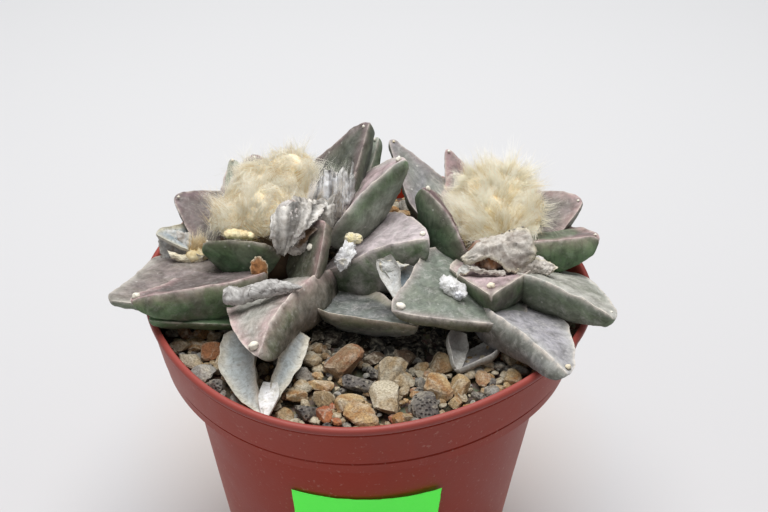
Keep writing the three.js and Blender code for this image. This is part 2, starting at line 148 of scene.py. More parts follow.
def tubercleSkin():
    # powdery skin: two tones in clouds, streaks along the tubercle, chalk, and pale broken margins
    skin = Finish("tubercleSkin", 0.68)
    grain = skin.stretched((1, 0.22, 1), skin.readColor("grain"))
    clouds = skin.noise(95, 5, 0.6, 0.8)
    mottle = skin.noise(300, 7, 0.66, 0.6)
    streaks = skin.noise(1.5, 5, 0.62, 0.7, grain)
    cloudy = skin.ramp(clouds, 0.42, 0.6, 0, 0.9)
    color = skin.mix(cloudy, skin.readColor("tone"), skin.readColor("under"))
    color = skin.shade(color, skin.ramp(streaks, 0.3, 0.7), (204, 206, 206))
    band = skin.times(skin.read("rim"), skin.ramp(skin.noise(210, 5, 0.65), 0.28, 0.66, 0.35, 1))
    color = skin.mix(band, color, skin.readColor("rimTone"))
    color = skin.shade(color, skin.ramp(mottle, 0.34, 0.62), (186, 186, 182))
    powder = skin.ramp(skin.noise(520, 9, 0.78, 0.5), 0.5, 0.68, 0, 0.85)
    color = skin.mix(skin.times(powder, skin.read("bloom")), color, (206, 202, 198))
    line = skin.times(skin.read("line"), skin.ramp(skin.noise(430, 5, 0.7), 0.38, 0.6, 0.05, 0.9))
    color = skin.mix(line, color, (216, 206, 194))
    specks = skin.times(skin.ramp(skin.cells(330), 0.05, 0.12, 1, 0), skin.ramp(clouds, 0.4, 0.56))
    color = skin.mix(skin.times(specks, 0.5), color, (214, 212, 204))
    color = skin.shade(color, skin.ramp(skin.cells(1250), 0.05, 0.22, 0.72, 1), (150, 146, 138))
    skin.bump(skin.noise(140, 5, 0.55, 0.5), 0.6, 0.55)
    skin.bump(streaks, 0.16, 0.6)
    skin.bump(skin.noise(560, 7, 0.7), 0.16, 0.8)
    skin.bump(skin.noise(1700, 4, 0.7), 0.04, 0.8)
    return skin.finish(color, skin.ramp(mottle, 0.3, 0.7, 0.56, 0.82))


def paperySkin():
    skin = Finish("paperySkin", 0.85)
    cloud = skin.noise(230, 6, 0.66, 1.0)
    cloudy = skin.ramp(cloud, 0.46, 0.62, 0, 0.8)
    color = skin.mix(cloudy, skin.readColor("tone"), skin.readColor("under"))
    rim = skin.times(skin.read("rim"), skin.ramp(skin.noise(300, 4), 0.3, 0.6, 0.5, 1))
    color = skin.mix(rim, color, skin.readColor("rimTone"))
    pits = skin.ramp(skin.cells(900), 0.08, 0.24, 0.65, 0)
    color = skin.mix(skin.times(pits, skin.ramp(skin.noise(420, 4), 0.5, 0.6)), color, (74, 70, 66))
    wrinkles = skin.noise(760, 6, 0.7, 1.2)
    color = skin.shade(color, skin.ramp(wrinkles, 0.32, 0.6), (204, 200, 194))
    skin.bump(cloud, 0.4, 0.6)
    skin.bump(wrinkles, 0.22, 0.9)
    return skin.finish(color)


def fibreFinish(name, base, tip, warm, warmShare, glow=0.0):
    # hairs are darker where they grow out and paler at their ends
    fibre = Finish(name, 0.9)
    color = fibre.mix(fibre.read("along"), base, tip)
    color = fibre.mix(fibre.ramp(fibre.read("hue"), 1 - warmShare, 1, 0, 0.85), color, warm)
    color = fibre.shade(color, fibre.noise(300, 3), (236, 230, 220))
    if glow:
        # stands for the light that passes through thin hairs
        fibre.glow(color, glow)
    return fibre.finish(color)


def driedFinish(name, pale, dark, warm, creases=0.5, scale=360):
    dried = Finish(name, 0.92)
    folds = dried.noise(scale, 7, 0.68, 1.4)
    color = dried.mix(dried.ramp(folds, 0.34, 0.6), dark, pale)
    stain = dried.times(dried.read("warmth"), dried.ramp(dried.noise(200, 4), 0.3, 0.6, 0.4, 1))
    color = dried.mix(stain, color, warm)
    drawn = dried.stretched((0.45, 1, 1))
    cracks = dried.ramp(dried.cells(620, "DISTANCE_TO_EDGE", drawn), 0.0, 0.07, 1, 0)
    cracks = dried.times(cracks, dried.ramp(dried.noise(260, 4), 0.46, 0.6, 0, creases))
    color = dried.mix(cracks, color, (64, 58, 52))
    dried.bump(folds, 0.25, 0.6)
    dried.bump(dried.noise(1500, 5, 0.7), 0.08, 0.7)
    return dried.finish(color)


def stoneFinish(name, porous):
    # broad stains on a paler body, and worn pale edges; porous rock has holes instead
    stone = Finish(name, 0.9)
    patches = stone.ramp(stone.noise(150, 5, 0.6, 0.8), 0.42, 0.6)
    color = stone.mix(patches, stone.readColor("tone"), stone.readColor("stain"))
    veins = stone.noise(420, 6, 0.7, 0.9)
    color = stone.mix(stone.ramp(veins, 0.52, 0.72, 0, 0.7), color, (206, 198, 178))
    if not porous:
        worn = stone.times(stone.read("wear"), stone.ramp(stone.noise(500, 4), 0.3, 0.6, 0.3, 1))
        color = stone.mix(stone.times(worn, 0.6), color, (214, 206, 188))
    color = stone.shade(color, stone.ramp(stone.noise(2300, 4, 0.8), 0.3, 0.6), (150, 142, 132))
    stone.bump(veins, 0.5, 0.8)
    stone.bump(stone.noise(1200, 6, 0.75), 0.16, 0.9)
    if porous:
        holes = stone.ramp(stone.cells(1100), 0.1, 0.42)
        color = stone.mix(holes, (44, 41, 40), color)
        stone.bump(holes, 0.4, 1.0)
    return stone.finish(color)


def gritFinish():
    grit = Finish("darkGrit", 0.95)
    color = grit.mix(grit.noise(500, 5, 0.7), (60, 52, 44), (128, 112, 90))
    color = grit.mix(0.25, color, grit.cells(700, output="Color"), "SOFT_LIGHT")
    grit.bump(grit.cells(700), 0.6, 0.9)
    return grit.finish(color)


def potPlastic():
    plastic = Finish("brickPlastic", 0.5, {
        "Specular IOR Level": 0.34,
        "Sheen Weight": 0.16, "Sheen Roughness": 0.4, "Sheen Tint": (244, 200, 184),
    })
    cloud = plastic.noise(28, 4, 0.6, 0.5)
    color = plastic.mix(cloud, (138, 36, 12), (154, 42, 15))
    streaks = plastic.noise(60, 4, 0.6, 0, plastic.stretched((1, 1, 0.12)))
    color = plastic.mix(plastic.ramp(streaks, 0.55, 0.75, 0, 0.25), color, (116, 42, 33))
    dust = plastic.times(plastic.ramp(plastic.noise(900, 3, 0.6), 0.62, 0.72), 0.3)
    color = plastic.mix(dust, color, (196, 150, 136))
    # painted highlight: the top of the lip is paler, where the light from above falls on it
    color = plastic.mix(plastic.read("lip"), color, (146, 64, 56))
    plastic.bump(plastic.noise(1500, 3, 0.5), 0.04, 0.6)
    plastic.bump(cloud, 0.4, 0.3)
    return plastic.finish(color, plastic.ramp(cloud, 0.3, 0.7, 0.42, 0.58))


def labelPaper():
    paper = Finish("greenPaper", 0.55)
    fibres = paper.noise(1400, 5, 0.7)
    # painted glow: the paper gives off light of its own, so that it stays bright in the pot's shade
    paper.glow((88, 238, 78), 0.35)
    paper.bump(fibres, 0.03, 0.6)
    paper.bump(paper.noise(120, 2), 0.2, 0.4)
    return paper.finish(paper.mix(fibres, (106, 230, 96), (128, 244, 114)))


def floorPaint():
    # a pale table; painted light makes it a little brighter towards the back, and a warm patch round the
    # pot's foot is its painted reflection and shadow
    floor = Finish("paleFloor", 0.75)
    split = floor.add("ShaderNodeSeparateXYZ")
    floor.feed(split.inputs[0], floor.point)
    # painted light: the floor gets paler towards the back
    color = floor.mix(floor.ramp(split.outputs["Y"], 0.02, 0.55), (201, 200, 201), (223, 223, 224))
    # painted reflection and shadow of the pot: a warm ring round its foot
    away = floor.add("ShaderNodeVectorMath", operation="DISTANCE")
    floor.feed(away.inputs[0], floor.point)
    floor.feed(away.inputs[1], (0, 45 * mm, 0))
    warm = floor.ramp(away.outputs["Value"], 50 * mm, 76 * mm, 0.35, 0)
    return floor.finish(floor.mix(warm, color, (208, 194, 182)))


# Mesh helpers


def toScene(name, data):
    made = bpy.data.objects.new(name, data)
    bpy.context.scene.collection.objects.link(made)
    return made


def toMesh(name, bm):
    mesh = bpy.data.meshes.new(name)
    bm.to_mesh(mesh)
    bm.free()
    return mesh


def addMesh(name, mesh, material, node, smooth=True):
    mesh.shade_smooth() if smooth else mesh.shade_flat()
    mesh.materials.append(material)
    piece = toScene(name, mesh)
    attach(piece, "root")
    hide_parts(node)
    print(name, len(mesh.vertices), "vertices")
    return piece


def addPiece(name, bm, material, node):
    bmesh.ops.recalc_face_normals(bm, faces=bm.faces)
    return addMesh(name, toMesh(name, bm), material, node)


def plainName(node, ending=""):
    # head_left gives headLeft
    first, *rest = node.split("_")
    return first + "".join(word.capitalize() for word in rest) + ending


def closeSeams(bm):
    bmesh.ops.remove_doubles(bm, verts=bm.verts, dist=0.002 * mm)


def lathe(bm, profile, steps, x=0, y=0):
    # turns pairs of radius and height round an upright axis
    corners = [bm.verts.new(Vector((x + radius, y, height)) * mm) for radius, height in profile]
    edges = [bm.edges.new(pair) for pair in zip(corners, corners[1:])]
    bmesh.ops.spin(
        bm, geom=corners + edges, cent=(x * mm, y * mm, 0), axis=(0, 0, 1),
        angle=2 * math.pi, steps=steps, use_merge=True, use_duplicate=False,
    )


def addLayers(bm, colors, numbers):
    kinds = bm.verts.layers
    layers = {key: kinds.float_color.new(key) for key in colors.split()}
    layers.update({key: kinds.float.new(key) for key in numbers.split()})
    return layers


def pointsOf(mesh):
    flat = np.empty(len(mesh.vertices) * 3)
    mesh.vertices.foreach_get("co", flat)
    return flat.reshape(-1, 3)


def setPoints(mesh, points):
    mesh.vertices.foreach_set("co", np.asarray(points, float).ravel())
    mesh.update()


def setValues(mesh, name, values):
    values = np.asarray(values, float)
    if values.ndim == 1:
        mesh.attributes.new(name, "FLOAT", "POINT").data.foreach_set("value", values)
    else:
        mesh.attributes.new(name, "FLOAT_COLOR", "POINT").data.foreach_set("color", values.ravel())


def copiesOf(bm, count):
    # one mesh that holds the same small shape many times, in order
    single = toMesh("single", bm)
    many = bmesh.new()
    for _ in range(count):
        many.from_mesh(single)
    return toMesh("copies", many), pointsOf(single)


def random(seed):
    return np.random.default_rng(seed)


def unit(vectors):
    return vectors / np.linalg.norm(vectors, axis=-1, keepdims=True)


def acrossOf(directions):
    # two directions square to each one given
    helper = np.where(np.abs(directions[:, 2:3]) < 0.9, [[0, 0, 1.0]], [[1.0, 0, 0]])
    first = unit(np.cross(directions, helper))
    return first, np.cross(directions, first)


def randomWays(stream, count):
    return unit(stream.normal(size=(count, 3)))


def relief(point, scale, seed, octaves=4):
    # smooth random heights, about -1 to 1, at a point in metres; the scale is in millimetres
    place = Vector(point) / (scale * mm) + Vector((seed * 17.3, seed * 5.1, seed * 9.7))
    return noise.fractal(place, 0.6, 2.1, octaves)


def folded(point, scale, seed):
    return 1 - 2 * abs(relief(point, scale, seed))


# Camera, light and floor

camera = {"lens": 56.25, "elevation": 34, "roll": 0.3, "distance": 281, "aim": (4.3, 0, 96.3)}
lights = [
    {"name": "overhead", "at": (0, 90, 900), "aim": (0, 0, 60), "size": 700, "watts": 10.6},
    {"name": "front", "at": (-420, -700, 420), "aim": (0, 0, 80), "size": 600, "watts": 0.75},
]
surround = {"color": (236, 239, 242), "strength": 0.3}


def facing(place, target):
    return (target - place).to_track_quat("-Z", "Y").to_matrix().to_4x4()


def setCamera():
    tilt = math.radians(camera["elevation"])
    aim = Vector(camera["aim"]) * mm
    place = aim + camera["distance"] * mm * Vector((0, -math.cos(tilt), math.sin(tilt)))
    made = toScene("camera", bpy.data.cameras.new("camera"))
    made.data.lens = camera["lens"]
    made.data.sensor_width = 36
    made.data.clip_start = 0.01
    roll = Matrix.Rotation(math.radians(camera["roll"]), 4, "Z")
    made.matrix_world = Matrix.Translation(place) @ facing(place, aim) @ roll
    bpy.context.scene.view_settings.view_transform = "Standard"
    bpy.context.scene.camera = made


def setLights():
    for design in lights:
        made = toScene(design["name"], bpy.data.lights.new(design["name"], "AREA"))
        made.data.size = design["size"] * mm
        made.data.energy = design["watts"]
        place = Vector(design["at"]) * mm
        made.matrix_world = Matrix.Translation(place) @ facing(place, Vector(design["aim"]) * mm)
    world = bpy.data.worlds.new("surround")
    world.use_nodes = True
    background = world.node_tree.nodes["Background"]
    background.inputs["Color"].default_value = paint(*surround["color"])
    background.inputs["Strength"].default_value = surround["strength"]
    bpy.context.scene.world = world


def setFloor():
    bm = bmesh.new()
    bmesh.ops.create_grid(bm, x_segments=8, y_segments=8, size=4)
    floor = toScene("floor", toMesh("floor", bm))
    floor.data.materials.append(floorPaint())


# Pot: turned from its profile, then drawn a little out of round at the rim

pot = {
    "lipRadius": 52.5, "height": 90, "wall": 1.3, "segments": 160,
    "bandFoot": 48.9, "bandHeight": 16, "bodyTop": 44, "bodyFoot": 34, "floorTop": 3.4,
    "warpDepth": 26, "four": 0.016, "fourTurn": 52, "three": 0.0105, "threeTurn": -41,
    "lipHeight": 1.6, "lipInside": 47, "sharpAngle": 38,
}
drains = {"holes": 6, "ring": 18, "radius": 3, "slots": 4, "slotAt": 32.2, "slotSize": (12, 6, 3.4)}


def warped(point):
    share = min(max(1 - (pot["height"] - point.z / mm) / pot["warpDepth"], 0), 1)
    angle = math.atan2(point.y, point.x)
    four = pot["four"] * math.cos(4 * angle + math.radians(pot["fourTurn"]))
    three = pot["three"] * math.cos(3 * angle + math.radians(pot["threeTurn"]))
    factor = 1 + share * (four + three)
    return Vector((point.x * factor, point.y * factor, point.z))


def potProfile():
    top, rim, wall, body, band = (pot[key] for key in ("height", "lipRadius", "wall", "bodyTop", "bandFoot"))
    bandFootZ = top - pot["bandHeight"]
    stepZ = bandFootZ + 3.4
    lipFoot = top - pot["lipHeight"]
    outside = [
        (0, 0), (9, 0), (9.8, 1.8), (26.2, 1.8), (27, 0), (33.2, 0), (33.8, 0.3), (34, 0.8),
        (38.9, 37), (body - 0.05, bandFootZ - 0.3), (body + 0.3, bandFootZ),
        (band - 0.5, bandFootZ), (band, bandFootZ + 0.4), (band + 0.5, stepZ - 0.3), (band + 0.25, stepZ),
        (band + 0.3, stepZ + 0.35), (band + 0.9, stepZ + 0.6), (band + 1.9, stepZ + 5.4),
        (rim - 0.75, lipFoot - 0.9), (rim - 0.95, lipFoot - 0.55), (rim - 0.9, lipFoot - 0.25),
        (rim - 0.2, lipFoot + 0.05), (rim, lipFoot + 0.4), (rim - 0.02, lipFoot + 0.95),
        (rim - 0.25, top - 0.25), (rim - 0.65, top), (rim - wall + 0.1, top), (rim - wall - 0.15, top - 0.2),
    ]
    inside = [
        (rim - wall - 0.55, lipFoot - 0.2), (band - wall, bandFootZ + wall), (body - wall, bandFootZ - wall),
        (pot["bodyFoot"] - wall, pot["floorTop"]), (0, pot["floorTop"]),
    ]
    return outside + inside


def makePot():
    bm = bmesh.new()
    lathe(bm, potProfile(), pot["segments"])
    closeSeams(bm)
    for vert in bm.verts:
        vert.co = warped(vert.co)
    piece = addPiece("pot", bm, potPlastic(), "pot")
    points = pointsOf(piece.data) / mm
    # marks the top of the lip, which the plastic paints paler as a highlight
    outer = np.hypot(points[:, 0], points[:, 1]) > pot["lipInside"]
    upper = points[:, 2] > pot["height"] - pot["lipHeight"] - 0.05
    setValues(piece.data, "lip", np.where(outer & upper, 1.0, 0.0))
    cutDrains(piece)
    sharpen(piece, pot["sharpAngle"])


def sharpen(piece, degrees):
    bm = bmesh.new()
    bm.from_mesh(piece.data)
    for edge in bm.edges:
        edge.smooth = not edge.is_manifold or edge.calc_face_angle() < math.radians(degrees)
    bm.to_mesh(piece.data)
    bm.free()


def cutDrains(piece):
    # round holes through the floor, and slots through the foot ring
    bm = bmesh.new()
    for i in range(drains["holes"]):
        angle = 2 * math.pi * i / drains["holes"]
        place = Vector((math.cos(angle), math.sin(angle), 0)) * drains["ring"] * mm
        bmesh.ops.create_cone(
            bm, cap_ends=True, segments=24, radius1=drains["radius"] * mm, radius2=drains["radius"] * mm,
            depth=14 * mm, matrix=Matrix.Translation(place),
        )
    for i in range(drains["slots"]):
        turn = Matrix.Rotation(2 * math.pi * (i + 0.5) / drains["slots"], 4, "Z")
        shape = Matrix.Translation((drains["slotAt"] * mm, 0, 0)) @ Matrix.Diagonal((*drains["slotSize"], 1))
        bmesh.ops.create_cube(bm, size=1, matrix=turn @ shape @ Matrix.Diagonal((mm, mm, mm, 1)))
    cutter = toScene("drains", toMesh("drains", bm))
    cut = piece.modifiers.new("drains", "BOOLEAN")
    cut.operation = "DIFFERENCE"
    cut.object = cutter
    cut.solver = "EXACT"
    graph = bpy.context.evaluated_depsgraph_get()
    finished = bpy.data.meshes.new_from_object(piece.evaluated_get(graph), depsgraph=graph)
    piece.modifiers.clear()
    piece.data = finished
    bpy.data.objects.remove(cutter)


# Label: a blank sheet that follows the wall, with slightly worn edges

label = {"width": 34, "height": 24, "top": 60, "thickness": 0.4, "turn": -89, "columns": 48, "rows": 32}


def wallRadius(height):
    share = (height - 0.8) / (pot["height"] - pot["bandHeight"] - 0.8)
    return pot["bodyFoot"] + (pot["bodyTop"] - pot["bodyFoot"]) * share


def makeLabel():
    bm = bmesh.new()
    thickness = label["thickness"]
    bmesh.ops.create_grid(bm, x_segments=label["columns"], y_segments=label["rows"], size=0.5)
    bmesh.ops.solidify(bm, geom=bm.faces[:], thickness=thickness * mm)
    for vert in bm.verts:
        outer = 0 if vert.co.z > thickness * mm / 2 else 1
        height = label["top"] - label["height"] * (0.5 - vert.co.y)
        across = vert.co.x * label["width"]
        worn = 0.12 * relief((across * mm, height * mm, 0), 3, 4)
        edge = max(abs(vert.co.x), abs(vert.co.y)) > 0.49
        radius = wallRadius(height) + 0.3 + thickness * outer + 0.05 * worn
        angle = math.radians(label["turn"]) + (across + (worn if edge else 0)) / wallRadius(label["top"])
        height += worn if edge else 0
        vert.co = Vector((radius * math.cos(angle), radius * math.sin(angle), height)) * mm
    addPiece("label", bm, labelPaper(), "label")


# Tubercles

# screen colours of the skins and the dry sheets
tones = {
    "stone": (146, 140, 132), "sage": (158, 164, 152), "palePink": (180, 164, 164),
    "mauve": (150, 134, 136), "plum": (136, 106, 114), "lilac": (154, 152, 156), "moss": (110, 138, 100),
    "deepGreen": (92, 122, 88), "slate": (124, 130, 124), "beige": (190, 187, 178),
    "blush": (196, 160, 160), "cream": (214, 206, 188), "chalk": (206, 205, 200), "rust": (164, 112, 66),
    "greyGreen": (136, 142, 124), "brown": (110, 84, 60), "ash": (190, 190, 188),
    "blueAsh": (146, 158, 166), "bone": (222, 213, 188), "paleStone": (190, 188, 180),
    "dryGrey": (206, 200, 192), "dryShade": (150, 138, 128), "dimOlive": (92, 90, 72),
    "dimSage": (130, 138, 126), "paleSage": (196, 204, 190), "white": (250, 250, 252),
    "paperBlue": (172, 180, 182), "paleMoss": (150, 166, 140), "paleSlate": (150, 156, 148),
    "yellow": (222, 208, 158), "sand": (184, 172, 162), "spring": (104, 134, 84), "dusk": (128, 116, 114),
    "shell": (214, 200, 202), "darkMoss": (106, 118, 94), "duskRose": (118, 106, 103),
    "umber": (148, 137, 129), "wine": (118, 92, 98), "darkGreen": (84, 106, 80), "leaden": (104, 108, 98),
    "petal": (206, 182, 184), "darkBrown": (84, 64, 44), "paleDry": (222, 218, 212),
    "paleLilac": (178, 174, 180), "smoke": (126, 124, 118), "palePaper": (190, 198, 199),
}

skinMesh = {"around": 52, "along": 44, "keelRoundness": 1.4, "tipWidth": 0.1, "tipDepth": 0.26}

# what a tubercle has where its own lines don't say otherwise
usual = {
    "under": "greyGreen", "roll": 0, "lean": 0, "curl": 0, "bow": 0, "dish": 0, "crown": 0, "ridge": 0.2,
    "rough": 0.22, "rimWidth": 2.4, "blush": 0.75, "chalkLine": 0.6, "bloom": 0.3, "green": 0.5,
    "areole": 0.955, "knob": 0.42,
}


def tubercle(root, tip, width, toneNames, **more):
    # the tones are those of the upper face, the lower faces, the margins and the clouds over them
    named = dict(zip(("upper", "lower", "rim", "under"), toneNames.split()))
    return {"root": root, "tip": tip, "width": width, **named, **more}


headLeft = {
    "axis": (-24, 13), "radius": 13, "top": 100, "rootFoot": 34, "seed": 76, "reliefSeed": 8,
    "tubercles": [
        # low, in front
        tubercle((-14.3, 0.5, 90.3), (-22.3, -38.3, 97.9), 20, "paleStone dimOlive blush sand", depth=11.4,
            roll=21, lean=6.3, curl=-0.09, bow=0.095, bloom=0.45, ridge=0.8, knob=1.25, blush=0.85,
            chalkLine=0.9),
        tubercle((-11, -5, 89.5), (11.8, -22, 93), 19, "slate paleSlate bone lilac", depth=8, roll=-14,
            lean=2, dish=1.5, bloom=0.6, ridge=0.9, knob=1.1, chalkLine=1.2, blush=1.0, rimWidth=1.5),
        tubercle((-27, -1, 93), (-50.5, -23, 100.5), 20, "duskRose moss blush mauve", depth=9.5, roll=22,
            lean=3, bloom=0.35, ridge=0.4, knob=1.1, green=0.7),
        tubercle((-31, 6, 92), (-55.8, -19.8, 98), 29, "umber moss beige mauve", depth=6, roll=4, curl=0.06,
            bloom=0.3, ridge=0.2, crown=1.2),
        tubercle((-24, -5.5, 87.3), (-47.5, -21, 93.5), 16.5, "moss deepGreen moss", depth=5.5, bloom=0.1),
        # upright, round the wool
        tubercle((-19, 0, 91), (-9.5, -1, 106.3), 22, "dimOlive dimOlive blush", depth=6, roll=24, bow=0.1,
            bloom=0.3, ridge=0.4, areole=0.62, rimWidth=3.0, blush=0.9, knob=1.2),
        tubercle((-24, 2.5, 92.3), (-37, -2.8, 101.9), 19, "moss deepGreen brown", depth=7, roll=42,
            lean=-3, curl=-0.07, bloom=0.12, rimWidth=1.6),
        tubercle((-28, 13, 92), (-46.5, 16.5, 102.7), 22, "dusk dusk plum", depth=9, roll=-20, bloom=0.3),
        tubercle((-28, 20, 95), (-34.3, 31.5, 104.6), 11, "deepGreen moss greyGreen", depth=7, bloom=0.1),
        # between the heads
        tubercle((-8.5, 8.5, 90), (14.1, -3.8, 104.5), 21, "shell darkMoss shell shell", depth=13, roll=8,
            lean=-7.5, curl=-0.06, bow=-0.1, bloom=0.5, ridge=0.5, knob=0.9, rimWidth=1.3, blush=0.5,
            chalkLine=0.9),
        tubercle((-9, 11.5, 95.5), (8.7, 13, 115.5), 21.5, "petal paleSage chalk", depth=10, roll=-14,
            curl=-0.07, bow=-0.04, bloom=0.35, ridge=0.6, knob=0.9, green=0.9, rimWidth=1.8, chalkLine=0.9),
        tubercle((-14, 17, 95.5), (0, 25, 118.3), 19.5, "leaden slate plum", depth=10, curl=-0.025,
            bloom=0.2),
        tubercle((-11, 18, 95), (2.5, 29, 112.5), 14, "moss moss chalk", depth=9, bloom=0.3),
    ],
    "behind": [(50, 112, 4, 25, 10, 92), (60, 104, 3, 16, 32, 95), (122, 152, 2, 15, 14, 92)],
}

headRight = {
    "axis": (29, 8), "radius": 13, "top": 99, "rootFoot": 36, "seed": 129, "reliefSeed": 9,
    "tubercles": [
        # low, in front
        tubercle((30, -1, 92), (6.4, -24, 98.8), 30, "dimSage dimOlive palePink", depth=6, roll=-11, lean=6,
            curl=-0.06, bow=-0.09, bloom=0.45, ridge=0.5, knob=1.2, chalkLine=0.9, rimWidth=1.8),
        tubercle((30, 0, 97), (27.6, -21, 101.2), 20, "petal darkMoss cream plum", depth=13, roll=6,
            bloom=0.3, ridge=0.6, areole=0.86, knob=1.25, dish=0.9, chalkLine=0.9, rimWidth=1.6),
        tubercle((29.5, -8.5, 90.5), (42.7, -41.6, 95.8), 18, "paleLilac smoke chalk lilac", depth=8.5,
            roll=-18, lean=-5.5, curl=-0.04, bow=-0.06, bloom=0.6, ridge=0.7, knob=0.75, green=0.15,
            chalkLine=1.0, rimWidth=1.8),
        tubercle((34.5, 0.5, 92.8), (54.1, -26.4, 98.7), 19.5, "beige greyGreen chalk", depth=9.5, roll=-22,
            curl=-0.06, bow=-0.04, bloom=0.5, ridge=0.6, crown=0.8, chalkLine=1.0, rimWidth=1.8),
        # upright, round the wool
        tubercle((36, 9.5, 95.5), (53.8, -1.4, 103.2), 18.5, "dusk moss blush moss", depth=10.5, roll=-15,
            lean=-4, curl=-0.03, bloom=0.25, ridge=0.3),
        tubercle((33.5, 12, 95.3), (51.6, 13, 104.2), 21, "stone greyGreen blush mauve", depth=9, roll=18,
            bloom=0.35),
        tubercle((24.7, 4.5, 92.7), (13.7, 9.2, 109.8), 21, "wine darkGreen plum", depth=9.5, roll=28,
            curl=-0.08, bow=0.07, bloom=0.15, ridge=0.3, knob=0.9),
        tubercle((22, 14.5, 94.3), (5.8, 34.8, 108.8), 14, "lilac slate mauve", depth=9, bloom=0.4),
        tubercle((27, 16, 96), (20, 31, 108), 11, "plum mauve blush", depth=7, bloom=0.2),
        tubercle((32, 14, 96), (36.5, 22, 107), 10, "greyGreen slate mauve", depth=6, bloom=0.2),
    ],
    "behind": [(42, 130, 5, 23, 10, 92), (52, 115, 3, 15, 32, 95)],
}

stemInset = 5


def numberStream(state):
    # the same plain generator as in the solid part, so that both have the same tubercles
    while True:
        state = (state * 1664525 + 1013904223) % 4294967296
        yield state / 4294967296


def tuberclesBehind(head):
    # each row of them: first and last heading, count, length, rise and the height of its foot
    stream = numberStream(head["seed"])
    x, y = head["axis"]
    shapes = []
    for start, end, count, reach, rise, foot in head["behind"]:
        for i in range(count):
            heading = math.radians(start + (end - start) * i / (count - 1))
            slope = math.radians(rise + 5 * next(stream))
            length = reach + 2 * next(stream)
            out = stemInset + length * math.cos(slope)
            shapes.append(tubercle(
                (x + stemInset * math.cos(heading), y + stemInset * math.sin(heading), foot),
                (x + out * math.cos(heading), y + out * math.sin(heading), foot + length * math.sin(slope)),
                18 + 4 * next(stream), ("sage", "mauve", "stone")[i % 3] + " moss blush",
                depth=8, roll=10 * (next(stream) - 0.5), bloom=0.4, ridge=0.3,
            ))
    return shapes


def widthShare(along):
    shoulder = 0.38
    if along < shoulder:
        return 0.7 + 0.3 * math.sin(along / shoulder * math.pi / 2)
    out = (along - shoulder) / (1 - shoulder)
    tip = skinMesh["tipWidth"]
    return tip + (1 - tip) * max(1 - out, 0) ** 0.88


def depthShare(along):
    shoulder = 0.25
    if along < shoulder:
        return 0.85 + 0.6 * along
    out = (along - shoulder) / (1 - shoulder)
    tip = skinMesh["tipDepth"]
    return tip + (1 - tip) * max(1 - out ** 1.7, 0) ** 0.8


def frameOf(shape):
    start = Vector(shape["root"])
    forward = Vector(shape["tip"]) - start
    length = forward.length
    forward.normalize()
    side = Vector((0, 0, 1)).cross(forward).normalized()
    side = Quaternion(forward, math.radians(shape["roll"])) @ side
    return start, forward, side, forward.cross(side), length


def smoothed(values):
    return (np.roll(values, 1) + 2 * values + np.roll(values, -1)) / 4


def ringOf(shape, along, turns):
    # one cross-section: a flat upper face between two margins, and a rounded keel below
    wide, deep = widthShare(along), depthShare(along)
    halfWidth, keel = shape["width"] / 2 * wide, shape["depth"] * deep
    power = skinMesh["keelRoundness"]
    across, height = np.cos(turns), np.sin(turns)
    upper = height >= -1e-9
    down = np.where(upper, 0, np.abs(height)) ** power
    sideways = halfWidth * np.where(upper, across, np.sign(across) * np.abs(across) ** power)
    sideways = sideways + np.where(upper, 0, shape["lean"] * deep * down)
    lift = np.where(upper, -shape["dish"] * wide * height, -keel * down)
    if "shell" in shape:
        # a hollow blade instead of a keel
        sunk = shape["dish"] * wide * np.abs(height)
        sideways = np.where(upper, sideways, halfWidth * across)
        lift = np.where(upper, lift, -sunk - shape["shell"] * np.abs(height) ** 0.6)
    inward = np.where(upper, (1 - np.abs(across)) * halfWidth, down * keel)
    rim = np.exp(-((inward / shape["rimWidth"]) ** 2)) * np.where(upper, 1, 0.6)
    line = np.exp(-((inward / 0.5) ** 2))
    lift = lift + np.where(upper, shape["crown"] * wide * (1 - across ** 2), 0)
    lift = lift + np.where(upper, shape["ridge"] * 0.8 * line * wide, 0)
    return smoothed(sideways), smoothed(lift), upper, rim, line


